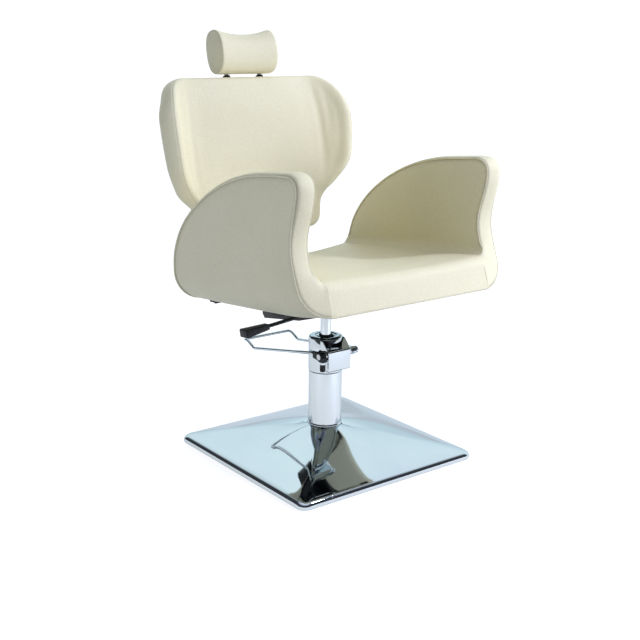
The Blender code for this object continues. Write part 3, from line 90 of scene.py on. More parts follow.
# %% Camera
FOCAL_PX = 1060.0
FRAME_PX = 640.0
SENSOR_MM = 36.0
CAMERA_AT = Vector((-1.7537, -2.2416, 1.1691))
CAMERA_BACK = Vector((-0.5898, -0.7629, 0.2648)).normalized()
CAMERA_ROLL = math.radians(-0.6406)

level = Vector((0.0, 0.0, 1.0)).cross(CAMERA_BACK).normalized()
upright = CAMERA_BACK.cross(level)
side = level * math.cos(CAMERA_ROLL) - upright * math.sin(CAMERA_ROLL)
top = level * math.sin(CAMERA_ROLL) + upright * math.cos(CAMERA_ROLL)
lens = bpy.data.cameras.new("photo_camera")
lens.sensor_width = SENSOR_MM
lens.lens = lens.sensor_width * FOCAL_PX / FRAME_PX
camera = placed("photo_camera", lens)
camera.matrix_world = Matrix((
    (side.x, top.x, CAMERA_BACK.x, CAMERA_AT.x),
    (side.y, top.y, CAMERA_BACK.y, CAMERA_AT.y),
    (side.z, top.z, CAMERA_BACK.z, CAMERA_AT.z),
    (0, 0, 0, 1),
))
bpy.context.scene.camera = camera
print("lens", round(lens.lens, 2), "mm")

# %% [markdown]
# ## Materials
# A finish is worked out with sums on shader values, so the sums are written as sums: a small class holds
# one socket, and adding or multiplying it lays the node that does so.


# %% Shader sums
class Wire:
    """One value in a material's node tree."""

    def __init__(self, socket):
        self.socket = socket

    def node(self, kind, inputs=None, out=0, **settings):
        """Lays any node: its settings first, then its sockets, then one of its outputs comes back."""
        tree = self.socket.id_data
        made = tree.nodes.new(kind)
        for name, value in settings.items():
            setattr(made, name, value)
        for key, value in (inputs or {}).items():
            if isinstance(value, Wire):
                tree.links.new(value.socket, made.inputs[key])
            else:
                made.inputs[key].default_value = value
        return Wire(made.outputs[out])

    def sum(self, operation, first, second):
        return self.node("ShaderNodeMath", {0: first, 1: second}, operation=operation)

    def __add__(self, other):
        return self.sum("ADD", self, other)

    __radd__ = __add__

    def __sub__(self, other):
        return self.sum("SUBTRACT", self, other)

    def __rsub__(self, other):
        return self.sum("SUBTRACT", other, self)

    def __mul__(self, other):
        return self.sum("MULTIPLY", self, other)

    def __pow__(self, other):
        return self.sum("POWER", self, other)

    def clamp(self, low, high):
        """0 below low, 1 above high, and an even rise between them."""
        return self.node("ShaderNodeMapRange", {"Value": self, "From Min": low, "From Max": high})

    def mix(self, first, second):
        """Goes from the first colour to the second as this value goes from 0 to 1."""
        return self.node("ShaderNodeMix", {0: self, 6: first, 7: second}, 2, data_type="RGBA")

    def stretch(self, x, y, z):
        """This place, with each direction scaled by its own amount."""
        return self.node("ShaderNodeVectorMath", {0: self, 1: (x, y, z)}, operation="MULTIPLY")

    def noise(self, scale, detail=2.0, rough=0.5):
        inputs = {"Vector": self, "Scale": scale, "Detail": detail, "Roughness": rough}
        return self.node("ShaderNodeTexNoise", inputs)

    def cells(self, scale, feature="F1"):
        return self.node("ShaderNodeTexVoronoi", {"Vector": self, "Scale": scale}, feature=feature)

    def relief(self, strength, depth):
        """This value as a height, turned into a bump."""
        return self.node("ShaderNodeBump", {"Height": self, "Strength": strength, "Distance": depth})


def finish(name, fixed, recipe):
    """A material: fixed values on the shader, and the linked ones that the recipe works out from place."""
    material = bpy.data.materials.new(name)
    material.use_nodes = True
    shader = material.node_tree.nodes["Principled BSDF"]
    for key, value in fixed.items():
        shader.inputs[key].default_value = value
    place = Wire(material.node_tree.nodes.new("ShaderNodeTexCoord").outputs["Object"])
    for key, wire in recipe(place).items():
        material.node_tree.links.new(wire.socket, shader.inputs[key])
    return material


# %% [markdown]
# Leather: a cream hide with a fine pebble, a little lighter and smoother where it is pulled over an edge, and
# with painted shade, a dark olive, in and beside each seam. Both amounts come with the mesh, as attributes.

# %% Leather
CREAM = (0.860, 0.800, 0.545, 1)
CREAM_DEEP = (0.720, 0.655, 0.420, 1)
# painted shade: the dark olive that the leather turns to in and beside a seam
PAINTED_SEAM_SHADE = (0.330, 0.285, 0.180, 1)


def leather_recipe(place):
    pebble = place.cells(620, "SMOOTH_F1")
    crease = place.cells(620, "DISTANCE_TO_EDGE").clamp(0.0, 0.12)
    speck = place.noise(380, 3.0, 0.7)
    cloud = place.noise(9, 3.0, 0.55)
    seam_shading = place.node("ShaderNodeAttribute", out="Fac", attribute_name="seam_shading")
    edge = place.node("ShaderNodeAttribute", out="Fac", attribute_name="edge")
    tone = cloud * 0.45 + (speck - 0.5) * 3.6 + (1.0 - crease) * 0.25 - edge * 0.25
    colour = tone.clamp(-0.45, 1.05).mix(CREAM, CREAM_DEEP)
    # painted shade in and beside the seams, by the seam shading attribute
    colour = (seam_shading ** 1.5 * 0.75).mix(colour, PAINTED_SEAM_SHADE)
    rough = 0.50 + (speck - 0.5) * 0.22 + (cloud - 0.5) * 0.12 - edge * 0.06
    height = pebble * -1.0 + crease * 0.5 + speck * 0.35
    return {"Base Color": colour, "Roughness": rough, "Normal": height.relief(0.32, 0.00035)}


leather = finish("cream_leather", {"IOR": 1.46, "Specular IOR Level": 0.42}, leather_recipe)


def thread_recipe(place):
    twist = place.noise(1500, 2.0)
    colour = twist.mix((0.80, 0.75, 0.60, 1), (0.62, 0.57, 0.44, 1))
    return {"Base Color": colour, "Roughness": 0.62 + twist * 0.2, "Normal": twist.relief(0.4, 0.0002)}


thread = finish("cream_thread", {}, thread_recipe)

# %% [markdown]
# Metal, rubber, wood and paint. Chrome is never quite clean: a faint haze of wiping marks changes its
# polish. Painted steel has a slight orange peel, cast iron a sandy skin.


# %% Metal and paint
def chrome_recipe(place):
    haze = place.noise(7, 4.0, 0.6)
    wipe = place.stretch(1.0, 1.0, 0.15).noise(160, 2.0)
    colour = haze.clamp(0.3, 0.75).mix((0.60, 0.65, 0.67, 1), (0.56, 0.61, 0.64, 1))
    rough = 0.035 + haze.clamp(0.40, 0.80) * 0.035 + wipe.clamp(0.5, 0.9) * 0.02
    return {"Base Color": colour, "Roughness": rough}


def steel_recipe(place):
    brush = place.stretch(1.0, 1.0, 0.06).noise(900, 3.0)
    haze = place.noise(30, 3.0)
    colour = haze.mix((0.46, 0.47, 0.48, 1), (0.60, 0.61, 0.62, 1))
    return {"Base Color": colour, "Roughness": 0.24 + brush * 0.16, "Normal": brush.relief(0.08, 0.0002)}


def paint_recipe(place):
    peel = place.noise(380, 2.0)
    dust = place.noise(22, 4.0, 0.6)
    colour = dust.clamp(0.45, 0.85).mix((0.007, 0.008, 0.009, 1), (0.018, 0.019, 0.020, 1))
    return {"Base Color": colour, "Roughness": 0.30 + dust * 0.2, "Normal": peel.relief(0.12, 0.0003)}


def plastic_recipe(place):
    pebble = place.cells(700)
    wear = place.noise(45, 4.0, 0.6)
    colour = wear.clamp(0.35, 0.8).mix((0.008, 0.009, 0.010, 1), (0.020, 0.021, 0.023, 1))
    return {"Base Color": colour, "Roughness": 0.30 + wear * 0.16, "Normal": pebble.relief(0.10, 0.0003)}


def rubber_recipe(place):
    dust = place.noise(60, 4.0, 0.65)
    colour = dust.clamp(0.4, 0.9).mix((0.010, 0.010, 0.010, 1), (0.045, 0.043, 0.040, 1))
    return {"Base Color": colour, "Roughness": 0.70 + dust * 0.2, "Normal": dust.relief(0.15, 0.0004)}


def plywood_recipe(place):
    rings = place.stretch(6.0, 0.7, 6.0).noise(18, 6.0, 0.6)
    pores = place.stretch(1.0, 0.05, 1.0).noise(700, 2.0)
    colour = (rings * 0.8 + pores * 0.2).clamp(0.35, 0.65).mix((0.66, 0.49, 0.30, 1), (0.50, 0.34, 0.19, 1))
    return {"Base Color": colour, "Roughness": 0.60 + pores * 0.2, "Normal": pores.relief(0.2, 0.0003)}


def iron_recipe(place):
    sand = place.noise(260, 5.0, 0.7)
    colour = sand.mix((0.045, 0.045, 0.048, 1), (0.095, 0.093, 0.092, 1))
    return {"Base Color": colour, "Roughness": 0.55 + sand * 0.25, "Normal": sand.relief(0.35, 0.0006)}


finishes = {
    "leather": leather,
    "chrome": finish(
        "mirror_chrome", {"Metallic": 1.0, "Specular Tint": (0.60, 0.66, 0.70, 1)}, chrome_recipe
    ),
    "steel": finish("bright_steel", {"Metallic": 1.0}, steel_recipe),
    "black_steel": finish("black_paint", {"Coat Weight": 0.05, "Specular IOR Level": 0.18}, paint_recipe),
    "black_plastic": finish("black_plastic", {"Specular IOR Level": 0.2}, plastic_recipe),
    "rubber": finish("black_rubber", {}, rubber_recipe),
    "plywood": finish("birch_plywood", {}, plywood_recipe),
    "cast_iron": finish("cast_iron", {"Metallic": 0.7}, iron_recipe),
}
# painted shade: the steel straps and bolts under the seat get the black paint finish, so they read as the
# shade there
PAINTED_SHADE_UNDER_SEAT = ("front_strap", "rear_strap", "arm_bolt")  # shown black, so that none glints under the seat
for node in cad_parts.values():
    for place in node.material_slots:
        slot = place.material.name.split(".")[0]
        place.material = finishes["black_steel" if node.name.startswith(PAINTED_SHADE_UNDER_SEAT) else slot]
print("finishes", sorted(finishes))

# %% [markdown]
# ## Sewing patterns
# Each cover starts as a flat pattern: one closed outline, cut into four sides. Between the sides a grid is
# stretched, as cloth would be, so the leather has even squares and no point where all the threads meet.

# %% Patterns
CURVE_POINTS, HALF_CURVE = 24, 12
GRID_ROUNDS = 80
SHARPEST_MITRE = 0.6
SWELL_POWER = 0.6


def curve(p0, p1, p2, p3, count=CURVE_POINTS):
    """Points on a Bezier curve, without its last one."""
    t = np.linspace(0, 1, count, endpoint=False)[:, None]
    p0, p1, p2, p3 = (np.array(p, float) for p in (p0, p1, p2, p3))
    return (1 - t) ** 3 * p0 + 3 * (1 - t) ** 2 * t * p1 + 3 * (1 - t) * t**2 * p2 + t**3 * p3


def spaced(points, count):
    """The same line in equal steps, without its last point."""
    points = np.array(points, float)
    run = np.concatenate([[0], np.cumsum(np.linalg.norm(np.diff(points, axis=0), axis=1))])
    wanted = np.linspace(0, run[-1], count, endpoint=False)
    return np.stack([np.interp(wanted, run, points[:, k]) for k in range(points.shape[1])], axis=1)


def inset(loop, amount):
    """A closed outline, anticlockwise, moved inwards."""
    ahead = np.roll(loop, -1, 0) - loop
    ahead /= np.linalg.norm(ahead, axis=1)[:, None]
    behind = np.roll(ahead, 1, 0)
    inward = np.stack([-(ahead + behind)[:, 1], (ahead + behind)[:, 0]], axis=1)
    length = np.linalg.norm(inward, axis=1)[:, None]
    inward /= length
    return loop + inward * amount / np.maximum(length / 2, SHARPEST_MITRE)


def filled(loop, long, short):
    """A grid over an outline whose sides have long, short, long and short steps."""
    south = loop[: long + 1]
    east = loop[long : long + short + 1]
    north = loop[long + short : 2 * long + short + 1][::-1]
    west = np.concatenate([loop[2 * long + short :], loop[:1]])[::-1]
    u = np.linspace(0, 1, long + 1)[None, :, None]
    v = np.linspace(0, 1, short + 1)[:, None, None]
    grid = (1 - v) * south[None] + v * north[None] + (1 - u) * west[:, None] + u * east[:, None]
    grid -= (1 - v) * ((1 - u) * south[0] + u * south[-1]) + v * ((1 - u) * north[0] + u * north[-1])
    for _ in range(GRID_ROUNDS):
        around = grid[:-2, 1:-1] + grid[2:, 1:-1] + grid[1:-1, :-2] + grid[1:-1, 2:]
        grid[1:-1, 1:-1] = around / 4
    return grid


def swelling(long, short):
    """0 along a grid's edges, rising quickly to 1 in the middle."""
    u = np.linspace(0, 1, long + 1)[None, :]
    v = np.linspace(0, 1, short + 1)[:, None]
    return (16 * u * (1 - u) * v * (1 - v)) ** SWELL_POWER


# %% [markdown]
# A cover is sewn like a drum: two faces, and between them rings that go round the edge. Each ring says how
# much shade is painted on it at a seam and how hard it is pulled over an edge; the leather's colour uses
# both.


# %% Drums
def tube(rings):
    """The point numbers of a cover's rings, a row to each ring."""
    return np.arange(len(rings) * len(rings[0])).reshape(len(rings), -1)


def numbered(long, short, border, inner):
    """The point numbers of a grid: border goes round its edge, and inside they count up from inner."""
    index = np.zeros((short + 1, long + 1), int)
    index[1:-1, 1:-1] = inner + np.arange((short - 1) * (long - 1)).reshape(short - 1, long - 1)
    index[0, :-1] = border[:long]
    index[:-1, -1] = border[long : long + short]
    index[-1, :0:-1] = border[long + short : 2 * long + short]
    index[:0:-1, 0] = border[2 * long + short :]
    return index


def squares(index, closed=False):
    """The faces of a grid of point numbers; a closed one joins its last column to its first."""
    if closed:
        index = np.column_stack([index, index[:, 0]])
    around = (index[:-1, :-1], index[:-1, 1:], index[1:, 1:], index[1:, :-1])
    return np.stack(around, axis=-1).reshape(-1, 4).tolist()


def drum(name, rings, faces, long, short, seam_shading, edge, corners=()):
    """A closed cover from rings of points and the two grids that close them; corners stay sharp."""
    count, wall = len(rings[0]), tube(rings)
    inner = [grid[1:-1, 1:-1].reshape(-1, 3) for grid in faces]
    quads = squares(wall, closed=True)
    for border, start in ((wall[0], wall.size), (wall[-1], wall.size + len(inner[0]))):
        quads += squares(numbered(long, short, border, start))
    mesh = bpy.data.meshes.new(name)
    mesh.from_pydata(np.concatenate([*rings, *inner]).tolist(), [], quads)
    # painted seam shade and edge amounts, one value per ring; the two end faces get none
    for label, values in (("seam_shading", seam_shading), ("edge", edge)):
        level = np.zeros(len(mesh.vertices))
        level[: wall.size] = np.concatenate([np.broadcast_to(value, count) for value in values])
        mesh.attributes.new(label, "FLOAT", "POINT").data.foreach_set("value", level)
    crease = mesh.attributes.new("crease_edge", "FLOAT", "EDGE")
    for line, mark in zip(mesh.edges, crease.data):
        a, b = line.vertices
        if max(a, b) < wall.size and a % count == b % count and a % count in corners:
            mark.value = 1.0
    shape = bmesh.new()
    shape.from_mesh(mesh)
    bmesh.ops.recalc_face_normals(shape, faces=shape.faces)
    shape.to_mesh(mesh)
    shape.free()
    mesh.materials.append(leather)
    return placed(name, mesh)


# %% [markdown]
# Foam pushes the leather out between its seams. The cover is held along the sewn lines, blown up a little
# as cloth, and no point may go further than the foam would let it. Then the squares are divided once more.

# %% Stuffing
FOAM_PRESSURE = 4.0
CLOTH_QUALITY, CLOTH_FRAMES = 6, 20


def coordinates(mesh):
    flat = np.zeros(len(mesh.vertices) * 3, np.float32)
    mesh.vertices.foreach_get("co", flat)
    return flat.reshape(-1, 3).astype(float)


def stuff(piece, held, reach):
    """Blows the cover up by at most reach, with the held points kept where they are."""
    rest = coordinates(piece.data)
    sewn = piece.vertex_groups.new(name="sewn")
    sewn.add([int(i) for i in held], 1.0, "REPLACE")
    cloth = piece.modifiers.new("stuffing", "CLOTH")
    cloth.settings.quality = CLOTH_QUALITY
    cloth.settings.use_pressure = True
    cloth.settings.uniform_pressure_force = FOAM_PRESSURE
    cloth.settings.vertex_group_mass = "sewn"
    cloth.settings.effector_weights.gravity = 0.0
    cloth.collision_settings.use_collision = False
    cloth.point_cache.frame_start = 1
    cloth.point_cache.frame_end = CLOTH_FRAMES
    scene = bpy.context.scene
    for moment in range(1, CLOTH_FRAMES + 1):
        scene.frame_set(moment)
    full = piece.evaluated_get(bpy.context.evaluated_depsgraph_get())
    moved = coordinates(full.data) - rest
    piece.modifiers.remove(cloth)
    piece.vertex_groups.remove(sewn)
    scene.frame_set(1)
    far = np.maximum(np.linalg.norm(moved, axis=1), 1e-9)[:, None]
    rest = rest + moved / far * reach * np.tanh(far / reach)
    print(piece.name, "swelled", round(float(far.max()) * 1000, 1), "mm, kept within", reach * 1000)
    piece.data.vertices.foreach_set("co", rest.astype(np.float32).ravel())
    piece.data.update()
    take(piece)
    apply(piece, "SUBSURF", levels=1, render_levels=1)
    bpy.ops.object.shade_smooth()


# %% [markdown]
# Stitches are short lengths of thread that lie along a seam, each a small rounded bead on the leather.

# %% Stitches
STITCH_PITCH = 0.0055
STITCH_LENGTH = 0.0040
STITCH_R = 0.00048
STITCH_SIDES = 6
STITCH_SECTION = ((-0.5, 0.35), (-0.36, 0.85), (0.0, 1.0), (0.36, 0.85), (0.5, 0.35))
CLOSED_WITHIN = 0.03


def stitches(name, cover, paths):
    """Rows of stitches on a cover, along each path of points near it."""
    tree = BVHTree.FromPolygons(
        [v.co for v in cover.data.vertices], [tuple(p.vertices) for p in cover.data.polygons]
    )
    points, quads = [], []
    for path in paths:
        if np.linalg.norm(path[0] - path[-1]) < CLOSED_WITHIN:
            path = np.concatenate([path, path[:1]])
        length = np.linalg.norm(np.diff(path, axis=0), axis=1).sum()
        spots = spaced(path, max(2, int(length / STITCH_PITCH)))
        for here, there in zip(spots, np.roll(spots, -1, 0)):
            along = Vector(there - here)
            if along.length > 2 * STITCH_PITCH:
                continue
            at, normal, _, _ = tree.find_nearest(Vector(here))
            along.normalize()
            across = normal.cross(along).normalized()
            index = len(points) + np.arange(len(STITCH_SECTION) * STITCH_SIDES).reshape(-1, STITCH_SIDES)
            for run, size in STITCH_SECTION:
                for k in range(STITCH_SIDES):
                    angle = 2 * math.pi * k / STITCH_SIDES
                    lift = across * math.cos(angle) + normal * math.sin(angle)
                    points.append(at + along * run * STITCH_LENGTH + lift * size * STITCH_R)
            quads += squares(index, closed=True) + [index[0, ::-1].tolist(), index[-1].tolist()]
    mesh = bpy.data.meshes.new(name)
    mesh.from_pydata([tuple(p) for p in points], [], quads)
    mesh.materials.append(thread)
    for face in mesh.polygons:
        face.use_smooth = True
    return placed(name, mesh)


# %% [markdown]
# ## Seat and arms
# The seat's own frame tips down to the rear. The arm is drawn flat from the side, then bent: its outside
# curls in under the seat, its inside runs down in a hollow and meets the cushion.

# %% Seat and arm sizes
SEAT_Z = 0.462
SEAT_TILT = math.radians(5.76)
SEAT_FRONT_Y = -0.368
SEAT_REAR_Y = 0.243
SEAT_FRONT_H = 0.101
SEAT_REAR_H = 0.100
SEAT_FRONT_DISH = 0.006
SEAT_REAR_DISH = 0.016
SEAT_FOOT_R = 0.007
SEAT_BROW_R = 0.026
FRONT_LIFT = 0.012
FRONT_LIFT_RUN = 0.170
FRONT_RAKE = 0.022
NOSE_RUN = 0.180
NOSE_FADE = 0.110
JOINT_X = 0.258
ARM_OUTER_X = 0.336
ARM_THICK = 0.055
ARM_TOP = 0.3585
CURL_R = 0.085
CURL_TOP = 0.130
ARM_WAIST = (-0.311, 0.178)
ARM_NOSE = (-0.352, 0.318)
ARM_TOP_FRONT_Y = -0.300
ARM_TOP_REAR_Y = -0.200
ARM_REAR_Y = 0.248
ARM_REAR_H = 0.090


def seat_frame(x, y, z):
    """Points of the tipped seat frame, in the room."""
    c, s = math.cos(SEAT_TILT), math.sin(SEAT_TILT)
    x, y, z = np.broadcast_arrays(x, y, z)
    return np.stack([x, y * c + z * s, SEAT_Z - y * s + z * c], axis=-1)


def seat_top(y):
    share = (y - SEAT_FRONT_Y) / (SEAT_REAR_Y - SEAT_FRONT_Y)
    return SEAT_FRONT_H + (SEAT_REAR_H - SEAT_FRONT_H) * share


def step(share):
    share = np.clip(share, 0, 1)
    return share * share * (3 - 2 * share)


def front_lift(y):
    return FRONT_LIFT * step((SEAT_FRONT_Y + FRONT_LIFT_RUN - y) / FRONT_LIFT_RUN)


def front_nose(y, share):
    """How far the front draws back, from its sharp lower edge (0) to its soft upper one (1)."""
    share = np.clip(share, 0, 1)
    tall = SEAT_FRONT_H - FRONT_LIFT
    back = FRONT_RAKE * share
    for radius, off in ((SEAT_FOOT_R, share * tall), (SEAT_BROW_R, (1 - share) * tall)):
        inside = np.maximum(0, radius - off)
        back = back + radius - np.sqrt(radius**2 - inside**2)
    return back * np.clip(1 - (y - SEAT_FRONT_Y) / NOSE_RUN, 0, 1) ** 2


def arm_place(y, h, depth, sign):
    """A point of the flat arm pattern, bent to shape; depth runs from the outside in."""
    share = depth / ARM_THICK
    h = np.maximum(h, 0)
    low = np.maximum(0, 1 - h / CURL_TOP)
    inner_x = ARM_OUTER_X - ARM_THICK
    straight = CURL_TOP - CURL_R
    end = math.acos(1 - (ARM_OUTER_X - JOINT_X) / CURL_R)
    travel = low * (straight + CURL_R * end)
    turn = np.maximum(0, travel - straight) / CURL_R
    outer_x = ARM_OUTER_X - CURL_R * (1 - np.cos(turn))
    outer_z = np.where(travel <= straight, CURL_TOP - travel, CURL_R * (1 - np.sin(turn)))
    outer_z = np.where(h >= CURL_TOP, h, outer_z)
    sweep = low * math.pi / 2
    hollow_x = JOINT_X + (inner_x - JOINT_X) * np.cos(sweep)
    hollow_z = np.where(h >= CURL_TOP, h, CURL_TOP - (CURL_TOP - seat_top(y)) * np.sin(sweep))
    x = outer_x + (hollow_x - outer_x) * share
    z = outer_z + (hollow_z - outer_z) * share + front_lift(y) * low * (1 - share)
    back = front_nose(y, share) * step(1 - h / NOSE_FADE)
    return seat_frame(sign * x, y + back, z)


# %% [markdown]
# The arm's side, from the photograph: a hollow front that runs out into a foot, a round nose, a level top
# and a long fall to the rear.

# %% Arm pattern
ARM_LONG = 52
ARM_SHORT = 38
HEEL_BEND, HEEL_UP = (0.2465, 0.022), 0.050
CHEST_FILL, FLARE_REACH = 0.004, 0.023
# how far the handles of each curve reach, as shares of its run or its rise
SLOPE_PULL, BROW_PULL = (0.495, 0.52), (0.74, 0.66)
CHEST_PULL, FLARE_PULL = (0.36, 0.34), (0.70, 0.365)


def arm_outline():
    """The arm's side in four parts: foot, rear, top and front."""
    foot, heel, rear = (SEAT_FRONT_Y, 0.0), (SEAT_REAR_Y, 0.0), (ARM_REAR_Y, ARM_REAR_H)
    top_rear, crest = (ARM_TOP_REAR_Y, ARM_TOP), (ARM_TOP_FRONT_Y, ARM_TOP)
    (nose_y, nose_h), (waist_y, waist_h) = ARM_NOSE, ARM_WAIST
    glide = (ARM_REAR_Y - ARM_TOP_REAR_Y) * SLOPE_PULL[0]
    fall = (ARM_TOP - ARM_REAR_H) * SLOPE_PULL[1]
    rise, hollow = ARM_TOP - nose_h, nose_h - waist_h
    heel_up = curve(heel, HEEL_BEND, (ARM_REAR_Y, HEEL_UP), rear)
    slope_in, slope_out = (ARM_REAR_Y, ARM_REAR_H + fall), (ARM_TOP_REAR_Y + glide, ARM_TOP)
    slope = curve(rear, slope_in, slope_out, top_rear, 2 * CURVE_POINTS)
    level = np.linspace(top_rear, crest, HALF_CURVE, endpoint=False)
    brow_in = (ARM_TOP_FRONT_Y - rise * BROW_PULL[0], ARM_TOP)
    brow = curve(crest, brow_in, (nose_y, nose_h + rise * BROW_PULL[1]), ARM_NOSE)
    chest_in = (nose_y + CHEST_FILL, nose_h - hollow * CHEST_PULL[0])
    chest = curve(ARM_NOSE, chest_in, (waist_y, waist_h + hollow * CHEST_PULL[1]), ARM_WAIST)
    flare_out = (SEAT_FRONT_Y + FLARE_REACH, waist_h * FLARE_PULL[1])
    flare = curve(ARM_WAIST, (waist_y, waist_h * FLARE_PULL[0]), flare_out, foot)
    sides = (
        (np.array([foot, heel]), ARM_LONG),
        (np.concatenate([heel_up, slope[: CURVE_POINTS + 1]]), ARM_SHORT),
        (np.concatenate([slope[CURVE_POINTS:], level, brow[: HALF_CURVE + 1]]), ARM_LONG),
        (np.concatenate([brow[HALF_CURVE:], chest, flare, [foot]]), ARM_SHORT),
    )
    return np.concatenate([spaced(line, count) for line, count in sides])


print("arm outline", len(arm_outline()), "points")

# %% [markdown]
# The arm's cover goes round in rings: the side panel, its piped seam, the band, and the inner face, whose
# seam runs out towards the cushion. The panel is drawn in a little more round the nose and along the top.

# %% Arm covers
ARM_RINGS = (
    # inset, depth, painted seam shade, edge, and inside also the depth where the seam has run out
    (0.0200, 0.0022, 0.0, 0.0),
    # this ring and the next two paint shade on the panel beside the piped seam, where the band stands proud
    (0.0130, 0.0030, 0.14, 0.0),
    (0.0084, 0.0038, 0.45, 0.0),
    (0.0070, 0.0046, 0.9, 0.0),
    (0.0062, 0.0024, 0.4, 0.2),
    (0.0047, 0.0006, 0.0, 0.9),
    (0.0026, 0.0008, 0.0, 1.0),
    (0.0015, 0.0024, 0.3, 0.4),
    (0.0034, 0.0042, 1.0, 0.0),
    (0.0010, 0.0060, 0.4, 0.2),
    (-0.0001, 0.0086, 0.0, 0.4),
    (-0.0012, 0.0180, 0.0, 0.0),
    (-0.0016, 0.0275, 0.0, 0.0),
    (-0.0012, 0.0370, 0.0, 0.0),
    (-0.0002, 0.0460, 0.0, 0.3, 0.0440),
    (0.0008, 0.0490, 0.4, 0.2, 0.0475),
    (0.0026, 0.0504, 1.0, 0.0, 0.0500),
    (0.0018, 0.0526, 0.3, 0.4, 0.0512),
    (0.0032, 0.0540, 0.0, 1.0, 0.0520),
    (0.0056, 0.0540, 0.0, 0.8, 0.0528),
    (0.0068, 0.0524, 0.4, 0.2, 0.0532),
    (0.0076, 0.0508, 0.9, 0.0, 0.0534),
    (0.0090, 0.0520, 0.4, 0.0, 0.0537),
    (0.0120, 0.0534, 0.08, 0.0, 0.0540),
)
PANEL_RINGS = 9
SEAM_STARTS, SEAM_FULL = 0.075, 0.115
FOOT_INSET = 0.0010
TOE_H, TOE_LEAST = 0.085, 0.3
NOSE_WRAP, TOP_WRAP = 0.0050, 0.0032
NOSE_FROM_H, NOSE_H_RUN = 0.19, 0.11
NOSE_FROM_Y, NOSE_Y_RUN = -0.23, 0.07
TOP_FROM_H, TOP_H_RUN = 0.22, 0.08
BAND_WRAP = {9: 0.55, 10: 0.15}
PANEL_CROWN, INNER_CROWN_SHARE = 0.0050, 0.5
ARM_FOAM = 0.0025
ARM_ROW_INSET, ARM_ROW_DEPTH = 0.0036, 0.0006


def build_arm(label, sign):
    outline = arm_outline()
    along, up = outline.T
    sewn = step((up - SEAM_STARTS) / (SEAM_FULL - SEAM_STARTS))
    nose = step((up - NOSE_FROM_H) / NOSE_H_RUN) * step((NOSE_FROM_Y - along) / NOSE_Y_RUN)
    wrap = np.maximum(NOSE_WRAP * nose, TOP_WRAP * step((up - TOP_FROM_H) / TOP_H_RUN))
    toe = TOE_LEAST + (1 - TOE_LEAST) * step(up / TOE_H)
    bottom = slice(ARM_LONG + 1)
    hidden = np.arange(len(outline)) <= ARM_LONG
    loops, rings, seam_shading, edge = [], [], [], []
    for k, (amount, deep, dark, taut, *run_out) in enumerate(ARM_RINGS):
        panel = k < PANEL_RINGS
        share = sewn if run_out else np.ones(len(outline))
        plain = run_out[0] if run_out else deep
        drawn_in = np.minimum(amount, FOOT_INSET) * (1 - share) + amount * share
        drawn_in = (drawn_in + wrap * BAND_WRAP.get(k, panel)) * (toe if panel else 1)
        loop = inset(outline, drawn_in[:, None])
        loop[bottom, 0] = np.clip(along[bottom], SEAT_FRONT_Y + drawn_in[0], SEAT_REAR_Y - drawn_in[0])
        loop[bottom, 1] = 0
        loops.append(loop)
        rings.append(arm_place(*loop.T, plain + (deep - plain) * share, sign))
        # painted shade along the seams, none on the hidden bottom edge
        seam_shading.append(np.where(hidden, 0, dark * share))
        edge.append(np.where(hidden, 0, taut * share))
    crown = swelling(ARM_LONG, ARM_SHORT) * PANEL_CROWN
    outer, inner = (filled(loop, ARM_LONG, ARM_SHORT) for loop in (loops[0], loops[-1]))
    inner_depth = ARM_RINGS[-1][1] + crown * INNER_CROWN_SHARE
    faces = (
        arm_place(outer[..., 0], outer[..., 1], ARM_RINGS[0][1] - crown, sign),
        arm_place(inner[..., 0], inner[..., 1], inner_depth, sign),
    )
    arm = drum(f"arm_{label}_cover", rings, faces, ARM_LONG, ARM_SHORT, seam_shading, edge, (0, ARM_LONG))
    stuff(arm, tube(rings).ravel(), ARM_FOAM)
    row = inset(outline, (ARM_ROW_INSET + wrap)[:, None])
    path = arm_place(*row.T, ARM_ROW_DEPTH, sign)[ARM_LONG:]
    sewing = stitches(f"arm_{label}_stitches", arm, [path])
    for piece in (arm, sewing):
        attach(piece, "seat")
    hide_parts(f"arm_pad_{label}", f"arm_panel_{label}")
    return arm


for label, sign in SIDES:
    arm = build_arm(label, sign)
    print(arm.name, len(arm.data.polygons), "faces")

# %% [markdown]
# The seat cushion fills the space between the arms. Its front is rounded like the arms' feet, so that the
# leather runs on from one to the other, and its top is dished a little.

# %% Seat
SEAT_LONG = 60
SEAT_SHORT = 14
SEAT_ACROSS = 40
SEAT_END, SEAT_INSIDE = 0.2588, 0.018
REAR_NOSE, REAR_NOSE_RUN = 0.012, 0.05
SEAT_FOAM = 0.004
SEAT_STOPS = ((0.0, 0.0009), (0.0005, 0.0003), (0.0016, 0.0001), (0.005, 0.0))  # from the end, shrink
# painted shade on the two end rings at each side, where the cushion meets the arms
SEAT_JOINT_SHADE = [0.2, 0.1]
HELD_ENDS, HELD_FOOT, HELD_BROW = 3, 2, 3


